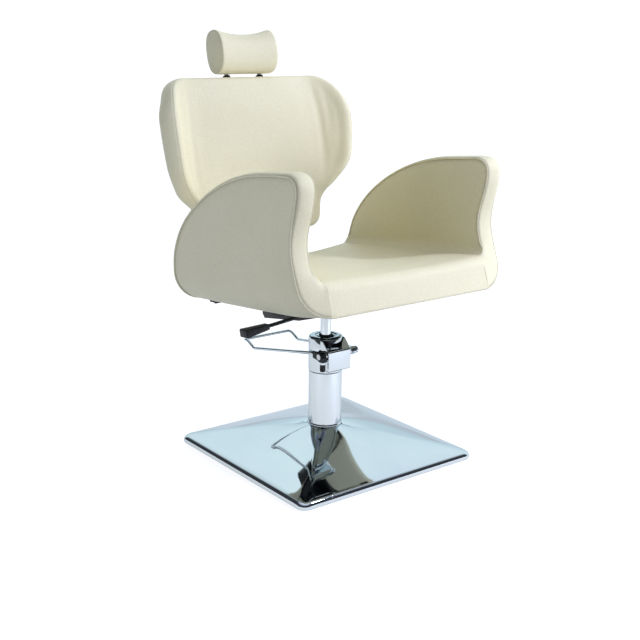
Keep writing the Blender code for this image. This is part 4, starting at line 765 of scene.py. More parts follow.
def seat_loop(x, shrink):
    """The seat's section at x: y and z in the seat's frame, anticlockwise seen from the right."""
    across = (x / JOINT_X) ** 2
    floor = np.linspace(SEAT_FRONT_Y, SEAT_REAR_Y, SEAT_LONG, endpoint=False)
    roof = np.linspace(SEAT_REAR_Y, SEAT_FRONT_Y, SEAT_LONG, endpoint=False)
    rise = np.linspace(0, 1, SEAT_SHORT, endpoint=False)
    y = np.concatenate([floor, np.full(SEAT_SHORT, SEAT_REAR_Y), roof, np.full(SEAT_SHORT, SEAT_FRONT_Y)])
    share = np.concatenate([np.zeros(SEAT_LONG), rise, np.ones(SEAT_LONG), 1 - rise])
    low = front_lift(y) + shrink
    rearward = (y - SEAT_FRONT_Y) / (SEAT_REAR_Y - SEAT_FRONT_Y)
    dish = SEAT_FRONT_DISH + (SEAT_REAR_DISH - SEAT_FRONT_DISH) * rearward
    high = seat_top(y) - dish * (1 - across) - shrink
    z = low + (high - low) * (0.5 - 0.5 * np.cos(np.pi * share))
    part = (z - low) / (high - low)
    heel = REAR_NOSE * (1 - np.sqrt(np.maximum(0, 1 - (2 * part - 1) ** 2)))
    heel = heel * np.clip(1 - (SEAT_REAR_Y - y) / REAR_NOSE_RUN, 0, 1) ** 2
    back = np.where(y > 0, -heel, front_nose(y, part))
    pull = np.where(y < 0, 1, -1) * shrink * np.where((share > 0) & (share < 1), 1, 0)
    return np.stack([y + back + pull, z], axis=1)


def build_seat():
    ends = [(from_end - SEAT_END, shrink) for from_end, shrink in SEAT_STOPS]
    inside = [(x, 0.0) for x in np.linspace(SEAT_INSIDE - SEAT_END, SEAT_END - SEAT_INSIDE, SEAT_ACROSS)]
    stops = ends + inside + [(-x, shrink) for x, shrink in ends[::-1]]
    rings = [seat_frame(x, *seat_loop(x, shrink).T) for x, shrink in stops]
    faces = []
    for x, shrink in (stops[0], stops[-1]):
        grid = filled(seat_loop(x, shrink), SEAT_LONG, SEAT_SHORT)
        faces.append(seat_frame(x, grid[..., 0], grid[..., 1]))
    edge = [0.0] * len(stops)
    seam_shading = SEAT_JOINT_SHADE + [0.0] * (len(stops) - 2 * len(SEAT_JOINT_SHADE)) + SEAT_JOINT_SHADE[::-1]
    seat = drum("seat_cover", rings, faces, SEAT_LONG, SEAT_SHORT, seam_shading, edge)
    wall = tube(rings)
    front = 2 * SEAT_LONG + SEAT_SHORT - HELD_BROW
    lined = (wall[:HELD_ENDS], wall[-HELD_ENDS:], wall[:, : SEAT_LONG - HELD_FOOT], wall[:, front:])
    caps = range(wall.size, len(seat.data.vertices))
    stuff(seat, [*np.concatenate([part.ravel() for part in lined]), *caps], SEAT_FOAM)
    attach(seat, "seat")
    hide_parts("seat_cushion")
    return seat


seat = build_seat()
print(seat.name, len(seat.data.polygons), "faces")

# %% [markdown]
# ## Back
# The back is one flat pattern, a tongue that flares into two wings, bent forward at each side. Behind, it
# follows the board's tight bend; in front, the foam fills the corner and the bend is long and soft.

# %% Back sizes
BACK_FOOT = (0.276, 0.595)
BACK_LEAN = math.radians(13)
BACK_H = 0.452
BACK_THICK = 0.055
TONGUE_HALF = 0.200
TONGUE_FLARE = 0.009
TONGUE_CORNER = 0.040
TONGUE_H = 0.070
WING_HALF = 0.323
WING_H = 0.317
WING_FOOT = (0.3071, 0.1966)
WING_SHOULDER = 0.215
WING_START = 0.195
WING_R = 0.064
WING_ANGLE = math.radians(45)
SOFT_START, SOFT_END = 0.165, 0.300
SOFT_ANGLE = math.radians(54)
FIRM_EASE = 0.006
BEND_REACH, BEND_STEPS = 0.36, 361
TURN_POINTS = 12
BACK_LONG = 54
BACK_SHORT = 46
# how far the handles of each curve of the outline reach, as shares of its run or its rise
NECK_PULL, SWEEP_PULL = (0.6, 1.4), (0.30, 0.2, 0.37)
CHEEK_PULL, CREST_PULL = (0.5, 0.24, 0.35), (0.43, 0.50)


def back_frame(x, depth, up):
    """Points of the leaning back frame, in the room."""
    c, s = math.cos(BACK_LEAN), math.sin(BACK_LEAN)
    x, depth, up = np.broadcast_arrays(x, depth, up)
    return np.stack([x, BACK_FOOT[0] + depth * c + up * s, BACK_FOOT[1] - depth * s + up * c], axis=-1)


def bend_line(start, end, angle):
    """A line that turns from straight ahead to angle between two lengths: length, turn, out and deep."""
    length = np.linspace(0, BEND_REACH, BEND_STEPS)
    turn = angle * step((length - start) / (end - start))
    middle = (turn[1:] + turn[:-1]) / 2
    out, deep = (np.concatenate([[0], np.cumsum(part(middle) * length[1])]) for part in (np.cos, np.sin))
    return length, turn, out, -deep


FIRM_END = WING_START + WING_R * WING_ANGLE
FIRM_BEND = bend_line(WING_START - FIRM_EASE, FIRM_END + FIRM_EASE, WING_ANGLE)
SOFT_BEND = bend_line(SOFT_START, SOFT_END, SOFT_ANGLE)


def back_place(across, up, depth):
    """A point of the flat back pattern, bent to shape; depth runs from the front to the rear."""
    places = []
    for length, turn, out, deep in (SOFT_BEND, FIRM_BEND):
        way = np.interp(np.abs(across), length, turn)
        wide = np.interp(np.abs(across), length, out) + depth * np.sin(way)
        places.append((wide, np.interp(np.abs(across), length, deep) + depth * np.cos(way)))
    firm = step(depth / BACK_THICK)
    wide, deep = (soft * (1 - firm) + tight * firm for soft, tight in zip(*places))
    return back_frame(np.sign(across) * wide, deep, up)


def back_outline():
    """Right half from the foot up, then mirrored: four sides, foot, right, top and left."""
    t = TONGUE_CORNER
    turn = np.linspace(-math.pi / 2, 0, TURN_POINTS, endpoint=False)
    corner = np.stack([TONGUE_HALF - t + t * np.cos(turn), t + t * np.sin(turn)], axis=1)
    (wing_x, wing_up), tip, shoulder = WING_FOOT, (WING_HALF, WING_H), (WING_SHOULDER, BACK_H)
    flare, rise = wing_x - TONGUE_HALF, wing_up - TONGUE_H
    swell, climb = WING_HALF - wing_x, WING_H - wing_up
    crown, reach = BACK_H - WING_H, WING_HALF - WING_SHOULDER
    neck = (TONGUE_HALF + TONGUE_FLARE * NECK_PULL[0], TONGUE_H)
    sweep_in = (TONGUE_HALF + TONGUE_FLARE * NECK_PULL[1], TONGUE_H + rise * SWEEP_PULL[0])
    sweep_out = (wing_x - flare * SWEEP_PULL[1], wing_up - rise * SWEEP_PULL[2])
    sweep = curve(neck, sweep_in, sweep_out, WING_FOOT)
    cheek_in = (wing_x + swell * CHEEK_PULL[0], wing_up + climb * CHEEK_PULL[1])
    cheek = curve(WING_FOOT, cheek_in, (WING_HALF, WING_H - climb * CHEEK_PULL[2]), tip)
    brow_in = (WING_HALF, WING_H + crown * CREST_PULL[0])
    brow = curve(tip, brow_in, (WING_SHOULDER + reach * CREST_PULL[1], BACK_H), shoulder)
    right = np.concatenate([corner[TURN_POINTS // 2 :], [neck], sweep[1:], cheek, brow[: HALF_CURVE + 1]])
    foot = corner[: TURN_POINTS // 2 + 1]
    roof = np.concatenate([brow[HALF_CURVE:], [shoulder, (0, BACK_H)]])
    mirror = np.array([-1, 1])
    bottom = np.concatenate([(foot * mirror)[::-1], foot])
    crest = np.concatenate([roof, (roof[:-1] * mirror)[::-1]])
    left = (right * mirror)[::-1]
    sides = ((bottom, BACK_LONG), (right, BACK_SHORT), (crest, BACK_LONG), (left, BACK_SHORT))
    return np.concatenate([spaced(line, count) for line, count in sides])


print("back outline", len(back_outline()), "points")

# %% [markdown]
# The back's cover goes round in rings too: the soft front edge, a seam, the band, and the rear edge with its
# own seam. Towards the rear the upper corners are drawn in, and the front edges of the wings are plumper.

# %% Back cover
BACK_RINGS = (
    # inset, depth, painted seam shade, edge
    (0.0190, -0.0006, 0.0, 0.0),
    (0.0130, 0.0000, 0.0, 0.1),
    (0.0096, 0.0005, 0.0, 0.3),
    (0.0065, 0.0017, 0.0, 0.5),
    (0.0038, 0.0038, 0.0, 0.7),
    (0.0018, 0.0065, 0.0, 0.7),
    (0.0006, 0.0096, 0.0, 0.5),
    (0.0003, 0.0118, 0.1, 0.2),
    (0.0016, 0.0130, 0.45, 0.0),
    (0.0003, 0.0142, 0.1, 0.3),
    (-0.0004, 0.0165, 0.0, 0.3),
    (-0.0012, 0.0275, 0.0, 0.0),
    (-0.0008, 0.0380, 0.0, 0.0),
    (0.0002, 0.0450, 0.0, 0.3),
    (0.0016, 0.0500, 0.0, 0.7),
    (0.0040, 0.0533, 0.0, 0.7),
    (0.0066, 0.0545, 0.05, 0.4),
    (0.0078, 0.0538, 0.5, 0.0),
    (0.0086, 0.0522, 0.9, 0.0),
    (0.0094, 0.0538, 0.5, 0.0),
    (0.0110, 0.0546, 0.1, 0.0),
)
BACK_CROWN, REAR_CROWN_SHARE = 0.007, 0.1
BACK_FOAM = 0.004
REAR_EASE = 0.016
EASE_FROM_H, EASE_H_RUN = 0.335, 0.07
EASE_FROM_X, EASE_X_RUN = 0.20, 0.05
WING_PLUMP, FRONT_RINGS = 0.9, 8
PLUMP_FROM_X, PLUMP_RUN = 0.235, 0.06
BACK_ROWS = ((0.0004, 0.0165), (0.0058, 0.0545))  # inset and depth of each row of stitches


def build_back():
    outline = back_outline()
    beside, up = np.abs(outline[:, 0]), outline[:, 1]
    corner = step((up - EASE_FROM_H) / EASE_H_RUN) * step((beside - EASE_FROM_X) / EASE_X_RUN)
    plump = WING_PLUMP * step((beside - PLUMP_FROM_X) / PLUMP_RUN)

    def eased(amount, depth):
        """The inset at this depth: towards the rear the upper corners are drawn in more."""
        return amount + REAR_EASE * corner * (depth / BACK_THICK) ** 2

    loops = []
    for k, (amount, deep, _, _) in enumerate(BACK_RINGS):
        drawn_in = eased(amount, deep) + (amount * plump if k < FRONT_RINGS else 0)
        loops.append(inset(outline, drawn_in[:, None]))
    rings = [back_place(*loop.T, ring[1]) for loop, ring in zip(loops, BACK_RINGS)]
    crown = swelling(BACK_LONG, BACK_SHORT) * BACK_CROWN
    front, rear = (filled(loop, BACK_LONG, BACK_SHORT) for loop in (loops[0], loops[-1]))
    faces = (
        back_place(front[..., 0], front[..., 1], BACK_RINGS[0][1] - crown),
        back_place(rear[..., 0], rear[..., 1], BACK_RINGS[-1][1] + crown * REAR_CROWN_SHARE),
    )
    # painted seam shade and edge amounts, taken from the rings
    _, _, seam_shading, edge = zip(*BACK_RINGS)
    back = drum("back_cover_leather", rings, faces, BACK_LONG, BACK_SHORT, seam_shading, edge)
    sewn, inside = tube(rings).size, (BACK_LONG - 1) * (BACK_SHORT - 1)
    stuff(back, [*range(sewn), *range(sewn + inside, sewn + 2 * inside)], BACK_FOAM)
    rows = []
    for amount, depth in BACK_ROWS:
        row = inset(outline, eased(amount, depth)[:, None])
        rows.append(back_place(*row.T, depth))
    sewing = stitches("back_stitches", back, rows)
    for piece in (back, sewing):
        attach(piece, "back")
    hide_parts("back_pad", "back_cover")
    return back


back = build_back()
print(back.name, len(back.data.polygons), "faces")

# %% [markdown]
# ## Headrest
# A small saddle: full at both ends, dipped on top and scooped in front, with a flat round panel sewn into
# each end.

# %% Headrest
HEAD_HALF = 0.0955
HEAD_DEPTH = 0.0155
HEAD_UP = 0.5255
HEAD_HALF_DEPTH = 0.0465
HEAD_HALF_H = 0.0635
SADDLE_DIP = 0.016
SADDLE_SCOOP = 0.008
HEAD_LONG, HEAD_SHORT, HEAD_ACROSS = 20, 16, 18
HEAD_INSIDE = 0.076
HEAD_CROWN, HEAD_FOAM = 0.002, 0.003
HEAD_ROW_X, HEAD_ROW_INSET = 0.0942, 0.0026
REAR_POWER, FRONT_POWER, TOP_POWER = 0.72, 0.95, 0.85
HEAD_START = 0.75 * math.pi


def head_loop(x, shrink):
    """The headrest's section at x: depth and height in the back's frame, anticlockwise."""
    count = 2 * (HEAD_LONG + HEAD_SHORT)
    angle = np.linspace(0, 2 * math.pi, count, endpoint=False) - HEAD_START
    c, s = np.cos(angle), np.sin(angle)
    middle = 1 - (x / HEAD_HALF) ** 2
    deep = HEAD_HALF_DEPTH - shrink - np.where(c < 0, SADDLE_SCOOP * middle, 0)
    high = HEAD_HALF_H - shrink - np.where(s > 0, SADDLE_DIP * middle, 0)
    depth = HEAD_DEPTH + deep * np.sign(c) * np.abs(c) ** np.where(c > 0, REAR_POWER, FRONT_POWER)
    up = HEAD_UP + high * np.sign(s) * np.abs(s) ** TOP_POWER
    loop = np.stack([depth, up], axis=1)
    return spaced(np.concatenate([loop, loop[:1]]), count)


HEAD_STOPS = (
    # x, shrink, painted seam shade, edge
    (0.0955, 0.0085, 0.0, 0.0),
    (0.0951, 0.0058, 0.15, 0.0),
    (0.0942, 0.0046, 0.5, 0.0),
    (0.0946, 0.0036, 0.15, 0.2),
    (0.0938, 0.0020, 0.0, 0.6),
    (0.0912, 0.0005, 0.0, 0.6),
    (0.0865, 0.0, 0.0, 0.2),
)


def build_headrest():
    inside = [(x, 0.0, 0.0, 0.0) for x in np.linspace(-HEAD_INSIDE, HEAD_INSIDE, HEAD_ACROSS)]
    stops = [(-x, *rest) for x, *rest in HEAD_STOPS] + inside + list(HEAD_STOPS[::-1])
    rings = [back_frame(x, *head_loop(x, shrink).T) for x, shrink, _, _ in stops]
    crown = swelling(HEAD_LONG, HEAD_SHORT) * HEAD_CROWN
    faces = []
    for (x, shrink, _, _), sign in ((stops[0], -1), (stops[-1], 1)):
        grid = filled(head_loop(x, shrink), HEAD_LONG, HEAD_SHORT)
        faces.append(back_frame(x + sign * crown, grid[..., 0], grid[..., 1]))
    # painted seam shade and edge amounts, taken from the stops
    _, _, seam_shading, edge = zip(*stops)
    head = drum("headrest_cover", rings, faces, HEAD_LONG, HEAD_SHORT, seam_shading, edge)
    wall, ends = tube(rings), len(HEAD_STOPS)
    stuff(head, [*wall[:ends].ravel(), *wall[-ends:].ravel()], HEAD_FOAM)
    row = head_loop(HEAD_HALF, HEAD_ROW_INSET)
    rows = [back_frame(sign * HEAD_ROW_X, *row.T) for _, sign in SIDES]
    sewing = stitches("headrest_stitches", head, rows)
    for piece in (head, sewing):
        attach(piece, "headrest")
    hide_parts("headrest_pad", "headrest_end_left", "headrest_end_right")
    return head


headrest = build_headrest()
print(headrest.name, len(headrest.data.polygons), "faces")

# %% [markdown]
# ## Turned metal
# Most of the metal is turned on a lathe, so it is made as a lathe would: one point is drawn out into a
# profile, step by step, and the profile is spun about the upright line. A fine bevel breaks each corner.


# %% Lathe
def complete(piece, name, material, body, nodes, matrix=None, angle=35):
    """Names a finished piece, puts its place into its mesh, and ties it to the frame."""
    piece.name = piece.data.name = name
    if matrix is not None:
        piece.data.transform(matrix)
    take(piece)
    bpy.ops.object.shade_smooth_by_angle(angle=math.radians(angle))
    piece.data.materials.clear()
    piece.data.materials.append(finishes[material])
    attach(piece, body)
    if nodes:
        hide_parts(*nodes)
    return piece


def drawn(bevel, segments=3, angle=30):
    """Ends a drawing: its faces are turned outwards, and corners sharper than angle are bevelled."""
    bpy.ops.mesh.select_all(action="SELECT")
    bpy.ops.mesh.normals_make_consistent(inside=False)
    bpy.ops.object.mode_set(mode="OBJECT")
    piece, limit = bpy.context.object, math.radians(angle)
    apply(piece, "BEVEL", width=bevel, segments=segments, limit_method="ANGLE", angle_limit=limit)
    return piece


def lathe(name, profile, material, body, nodes, matrix=None, bevel=0.0008, steps=96):
    """A profile of radius and height, spun about the upright line."""
    begin()
    bpy.ops.mesh.primitive_plane_add(size=0.01, enter_editmode=True)
    bpy.ops.mesh.merge(type="CENTER")
    bpy.ops.transform.translate(value=(profile[0][0], 0, profile[0][1]))
    for (r0, z0), (r1, z1) in zip(profile, profile[1:]):
        bpy.ops.mesh.extrude_region_move(TRANSFORM_OT_translate={"value": (r1 - r0, 0, z1 - z0)})
    bpy.ops.mesh.select_all(action="SELECT")
    bpy.ops.mesh.spin(steps=steps, angle=2 * math.pi, center=(0, 0, 0), axis=(0, 0, 1))
    bpy.ops.mesh.select_all(action="SELECT")
    bpy.ops.mesh.remove_doubles(threshold=0.00001)
    complete(drawn(bevel), name, material, body, nodes, matrix)


# %% [markdown]
# Column, pump and piston. A bead finishes the column's foot, and a groove runs round where the head meets
# the cover.

# %% Column and pump
COLUMN_R, COLUMN_FOOT = 0.047, 0.0863
HEAD_R = 0.048
HEAD_BOTTOM, HEAD_TOP = 0.245, 0.345
PISTON_R = 0.015
HEAD_BORE, RING_BORE = PISTON_R + 0.0004, PISTON_R + 0.0003
SEAL_FOOT = 0.3453
SOCKET_FOOT, SOCKET_TOP = 0.402, 0.452
lathe(
    "column_sleeve",
    [
        (COLUMN_R - 0.002, COLUMN_FOOT), (COLUMN_R + 0.002, COLUMN_FOOT), (COLUMN_R + 0.0021, 0.0895),
        (COLUMN_R + 0.0012, 0.0922), (COLUMN_R, 0.0935), (COLUMN_R, 0.2440), (COLUMN_R - 0.002, 0.2447),
        (COLUMN_R - 0.002, COLUMN_FOOT),
    ],
    "chrome", "base", ["column_cover"], bevel=0.0004,
)
lathe(
    "pump_collar",
    [
        (HEAD_BORE, HEAD_BOTTOM), (HEAD_R - 0.0012, HEAD_BOTTOM), (HEAD_R, HEAD_BOTTOM + 0.0012),
        (HEAD_R, HEAD_TOP - 0.005), (HEAD_R - 0.0012, HEAD_TOP - 0.0018), (HEAD_R - 0.004, HEAD_TOP),
        (0.030, HEAD_TOP), (0.029, HEAD_TOP - 0.0008), (0.0265, HEAD_TOP - 0.0008), (0.0255, HEAD_TOP),
        (HEAD_BORE, HEAD_TOP), (HEAD_BORE, HEAD_BOTTOM),
    ],
    "chrome", "base", ["pump_head"],
)
lathe(
    "gland_ring",
    [
        (RING_BORE, SEAL_FOOT), (0.0190, SEAL_FOOT), (0.0190, 0.3468), (0.0178, 0.3482), (0.0165, 0.3490),
        (RING_BORE, 0.3484), (RING_BORE, SEAL_FOOT),
    ],
    "rubber", "base", ["gland_seal"],
)
lathe(
    "piston",
    [
        (0, 0.4347), (PISTON_R * 0.9, 0.4347), (PISTON_R, 0.4332), (PISTON_R, 0.0575),
        (0.0220, 0.0572), (0.0220, 0.0330), (0, 0.0330),
    ],
    "chrome", "lift", ["piston_rod"],
)
lathe(
    "seat_socket_sleeve",
    [
        (RING_BORE, SOCKET_FOOT), (0.0285, SOCKET_FOOT), (0.0300, SOCKET_FOOT + 0.0015), (0.0300, SOCKET_TOP),
        (RING_BORE, SOCKET_TOP), (RING_BORE, SOCKET_FOOT),
    ],
    "black_steel", "seat", ["seat_socket"],
)

# %% [markdown]
# The pedal box on the head's front is a block with a sloping top. A block is placed, cut along the slope,
# and its edges are rounded.

# %% Pedal box
BOX_HALF = 0.0395
BOX_FRONT, BOX_REAR = 0.0655, 0.018
BOX_BOTTOM, BOX_TOP = 0.257, 0.342
BOX_SLOPE, BOX_BEVEL = 0.0275, 0.0035


def block(low, high, cuts):
    """Draws a block between two corners; each cut is a point and the direction that is taken off."""
    begin()
    bpy.ops.mesh.primitive_cube_add(size=1, enter_editmode=True)
    bpy.ops.transform.resize(value=[b - a for a, b in zip(low, high)])
    bpy.ops.transform.translate(value=[(a + b) / 2 for a, b in zip(low, high)])
    for point, away in cuts:
        bpy.ops.mesh.select_all(action="SELECT")
        bpy.ops.mesh.bisect(plane_co=point, plane_no=away, use_fill=True, clear_outer=True)


slope = ((0, BOX_SLOPE - BOX_FRONT, BOX_TOP), (0, -1, 1))
block((-BOX_HALF, -BOX_FRONT, BOX_BOTTOM), (BOX_HALF, -BOX_REAR, BOX_TOP), [slope])
box = complete(drawn(BOX_BEVEL, 4), "pedal_box", "chrome", "base", ["pump_head"])
print("pedal box", len(box.data.polygons), "faces")

# %% [markdown]
# ## Base
# The base is pressed from one chromed sheet: a square with round corners, a rolled rim, and a slow rise that
# becomes round where the column stands. A flat square is drawn up ring by ring, each ring a little smaller,
# higher and rounder than the one before.

# %% Base
BASE_SIDE = 0.600
BASE_CORNER = 0.026
CORNER_SEGMENTS, SIDE_CUTS = 14, 39
RIM_BOTTOM, RIM_TOP, RIM_ROLL = 0.002, 0.023, 0.006
BEAD_ROLL, BEAD_TURN = 0.014, math.radians(72)
DOME_TOP, DOME_POWER = 0.086, 0.88
COLUMN_HOLE = 0.046
SHEET = 0.002
RIM_STEPS, BEAD_STEPS, DOME_STEPS = 6, 8, 40


def ring_up(scale, rise, roundness=0.0):
    """Draws the open edge up into the next ring."""
    bpy.ops.mesh.extrude_region_move(TRANSFORM_OT_translate={"value": (0, 0, rise)})
    bpy.ops.transform.resize(value=(scale, scale, 1), center_override=(0, 0, 0))
    if roundness > 0:
        bpy.ops.transform.tosphere(value=roundness, center_override=(0, 0, 0))


begin()
half = BASE_SIDE / 2
bpy.ops.mesh.primitive_plane_add(size=BASE_SIDE - RIM_ROLL, location=(0, 0, RIM_BOTTOM), enter_editmode=True)
bpy.ops.mesh.bevel(offset=BASE_CORNER, offset_type="OFFSET", segments=CORNER_SEGMENTS, affect="VERTICES")
shape = bmesh.from_edit_mesh(bpy.context.object.data)
for edge in shape.edges:
    edge.select_set(edge.calc_length() > half)
bmesh.update_edit_mesh(bpy.context.object.data)
bpy.ops.mesh.subdivide(number_cuts=SIDE_CUTS)
bpy.ops.mesh.select_all(action="SELECT")
skirt = []
for k in range(RIM_STEPS + 1):
    turn = math.pi / 2 * k / RIM_STEPS
    skirt.append((RIM_ROLL * 0.5 * (1 - math.sin(turn)), RIM_BOTTOM + RIM_ROLL * (1 - math.cos(turn))))
bead_foot = RIM_TOP - BEAD_ROLL * math.sin(BEAD_TURN)
for k in range(BEAD_STEPS + 1):
    turn = BEAD_TURN * k / BEAD_STEPS
    skirt.append((BEAD_ROLL * (1 - math.cos(turn)), bead_foot + BEAD_ROLL * math.sin(turn)))
for (inset0, z0), (inset1, z1) in zip(skirt, skirt[1:]):
    ring_up((half - inset1) / (half - inset0), z1 - z0)
print("rim", len(skirt), "rings")

# %% [markdown]
# Above the rim the sheet rises slowly. Each ring pulls its corners in towards a circle, so the last one is
# round and fits under the column.

# %% Dome
shape = bmesh.from_edit_mesh(bpy.context.object.data)
reaches = [math.hypot(v.co.x, v.co.y) for v in shape.verts if v.select]
mean_reach = sum(reaches) / len(reaches)
size_was, height_was, square_was = 1.0, RIM_TOP, 1.0
for k in range(1, DOME_STEPS + 1):
    share = 1 - k / DOME_STEPS
    size = share + (1 - share) * COLUMN_HOLE / mean_reach
    height = RIM_TOP + (DOME_TOP - RIM_TOP) * (1 - share) ** DOME_POWER
    square = share / size
    ring_up(size / size_was, height - height_was, 1 - square / square_was)
    size_was, height_was, square_was = size, height, square
bpy.ops.mesh.delete(type="ONLY_FACE")
bpy.ops.object.mode_set(mode="OBJECT")
base = bpy.context.object
apply(base, "SOLIDIFY", thickness=SHEET, offset=-1)
complete(base, "base_sheet", "chrome", "base", ["base_cover"], angle=50)
print("base", len(base.data.polygons), "faces", [round(v, 3) for v in base.dimensions])

# %% [markdown]
# ## Pedal, lever and headrest posts
# Bent rods are drawn as a line with rounded corners and given a round section.

# %% Bent rods
ARC_SHARE = 0.49
ROD_FINENESS = 7


def rounded_line(points, radius, count=10):
    """A line through points whose corners turn in arcs."""
    points = [Vector(p) for p in points]
    line = [points[0]]
    for before, corner, after in zip(points, points[1:], points[2:]):
        into, out = (before - corner).normalized(), (after - corner).normalized()
        room = min((before - corner).length, (after - corner).length) * ARC_SHARE
        half_turn = into.angle(out) / 2
        cut = min(radius / math.tan(half_turn), room)
        start, end = corner + into * cut, corner + out * cut
        for k in range(count + 1):
            t = k / count
            line.append(start * (1 - t) ** 2 + corner * 2 * t * (1 - t) + end * t**2)
    return line + [points[-1]]


def rod(name, line, radius, material, body, nodes):
    """A line with a round section."""
    path = bpy.data.curves.new(name, "CURVE")
    path.dimensions = "3D"
    path.bevel_depth = radius
    path.bevel_resolution = ROD_FINENESS
    path.use_fill_caps = True
    spline = path.splines.new("POLY")
    spline.points.add(len(line) - 1)
    for point, place in zip(spline.points, line):
        point.co = (*place, 1)
    take(placed(name, path))
    bpy.ops.object.convert(target="MESH")
    return complete(bpy.context.object, name, material, body, nodes, angle=60)


SHAFT_Y, SHAFT_Z = -0.050, 0.303
HUB_X = 0.0545
HUB_REACH, HUB_SINK, HUB_LEAD = 0.026, 0.004, 0.02
PEDAL_HALF, PEDAL_R = 0.080, 0.0045
BAR_Y, BAR_Z = 0.288, 0.277
JOG, JOG_DROP, BEND_R = 0.034, 0.016, 0.016
near = [
    (HUB_X, SHAFT_Y + HUB_REACH - HUB_SINK, SHAFT_Z),
    (HUB_X, SHAFT_Y + HUB_REACH + HUB_LEAD, SHAFT_Z),
    (PEDAL_HALF, BAR_Y - BEND_R - JOG, BAR_Z - JOG_DROP),
    (PEDAL_HALF, BAR_Y - BEND_R, BAR_Z),
    (PEDAL_HALF, BAR_Y, BAR_Z),
]
loop = [(-x, y, z) for x, y, z in near] + near[::-1]
pedal = rod("foot_loop", rounded_line(loop, BEND_R), PEDAL_R, "chrome", "pedal", ["pedal_loop"])
print("pedal rod", len(pedal.data.polygons), "faces")

# %% [markdown]
# The pedal's shaft ends in a round knob. On the other side hangs the stop screw with its ribbed rubber. The
# recline lever is a straight rod that leaves the housing at a slight slope.

# %% Knob, stop and lever
ALONG_X = Matrix.Rotation(math.pi / 2, 4, "Y")
KNOB_X, STOP_AHEAD = 0.0638, 0.008
lathe(
    "pedal_knob",
    [
        (0, 0.0100), (0.0058, 0.0097), (0.0084, 0.0086), (0.0100, 0.0064), (0.0105, 0.0040), (0.0101, 0.0015),
        (0.0092, 0), (0, 0),
    ],
    "chrome", "pedal", ["shaft_knob"], Matrix.Translation((KNOB_X, SHAFT_Y, SHAFT_Z)) @ ALONG_X,
)
STOP_AT = Matrix.Translation((-HUB_X, SHAFT_Y - STOP_AHEAD, SHAFT_Z))
lathe(
    "stop_screw_turned",
    [
        (0, -0.0131), (0.0085, -0.0131), (0.0085, -0.0201), (0.0030, -0.0201), (0.0030, -0.0396),
        (0.0062, -0.0396), (0.0062, -0.0446), (0, -0.0446),
    ],
    "chrome", "pedal", ["stop_screw"], STOP_AT,
)
lathe(
    "stop_rubber",
    [
        (0.0033, -0.0204), (0.0074, -0.0204), (0.0080, -0.0228), (0.0075, -0.0264), (0.0080, -0.0300),
        (0.0075, -0.0336), (0.0080, -0.0372), (0.0074, -0.0393), (0.0033, -0.0393), (0.0033, -0.0204),
    ],
    "rubber", "pedal", ["stop_bumper"], STOP_AT, bevel=0.0005,
)
LEVER_AT = Vector((-0.1085, -0.08703, 0.44615))
LEVER_SLOPE = math.radians(5.5)
LEVER_IN, LEVER_OUT, LEVER_R = 0.022, 0.165, 0.005
seat_turn = Matrix.Rotation(-SEAT_TILT, 4, "X")
lever_turn = Matrix.Translation(LEVER_AT) @ seat_turn @ Matrix.Rotation(-LEVER_SLOPE, 4, "Y")
lever_line = [lever_turn @ Vector((x, 0, 0)) for x in (LEVER_IN, 0, -LEVER_OUT)]
rod("lever_rod", lever_line, LEVER_R, "black_steel", "lever", ["recline_lever"])

# %% [markdown]
# The grip is a flat moulded block that widens away from the rod.

# %% Grip
GRIP_NECK_X, GRIP_LENGTH = -0.150, 0.077
GRIP_NECK = (0.011, 0.0078)
GRIP_TIP = (0.018, 0.0115)
GRIP_BEVEL = 0.004
begin()
bpy.ops.mesh.primitive_plane_add(size=2, enter_editmode=True)
bpy.ops.transform.rotate(value=math.pi / 2, orient_axis="Y", center_override=(0, 0, 0))
bpy.ops.transform.resize(value=(1, *GRIP_NECK), center_override=(0, 0, 0))
bpy.ops.transform.translate(value=(GRIP_NECK_X, 0, 0))
widen = (1, GRIP_TIP[0] / GRIP_NECK[0], GRIP_TIP[1] / GRIP_NECK[1])
bpy.ops.mesh.extrude_region_move(TRANSFORM_OT_translate={"value": (-GRIP_LENGTH, 0, 0)})
bpy.ops.transform.resize(value=widen, center_override=(0, 0, 0))
grip = complete(drawn(GRIP_BEVEL, 4), "lever_grip", "black_plastic", "lever", ["recline_grip"], lever_turn)
print("grip", [round(v, 3) for v in grip.dimensions])

# %% [markdown]
# A pressed cheek covers each side of the housing. It is a thin plate, cut along its sloping lower edges.

# %% Housing cheeks
CHEEK_FRONT, CHEEK_REAR = -0.148, 0.154
CHEEK_IN, CHEEK_OUT = 0.1101, 0.1123
CHEEK_TOP, CHEEK_LOW = -0.0032, -0.0670
CHEEK_BEVEL = 0.0009
CHEEK_CUTS = (
    ((-0.148, -0.028), (-0.020, -0.0555)),
    ((-0.020, -0.0555), (0.145, -0.0670)),
    ((0.143, -0.0670), (0.154, -0.0560)),
)
seat_place = Matrix.Translation((0, 0, SEAT_Z)) @ seat_turn
cuts = [((0, y0, z0), (0, z1 - z0, y0 - y1)) for (y0, z0), (y1, z1) in CHEEK_CUTS]
for label, sign in SIDES:
    x0, x1 = sorted((sign * CHEEK_IN, sign * CHEEK_OUT))
    block((x0, CHEEK_FRONT, CHEEK_LOW), (x1, CHEEK_REAR, CHEEK_TOP), cuts)
    plate = drawn(CHEEK_BEVEL, angle=50)
    cheek = complete(plate, f"housing_cheek_{label}", "black_steel", "seat", [], seat_place)
    print(cheek.name, len(cheek.data.polygons), "faces")

# %% [markdown]
# Two posts carry the headrest. Each slides in a guide that ends in a collar on the back's top edge.

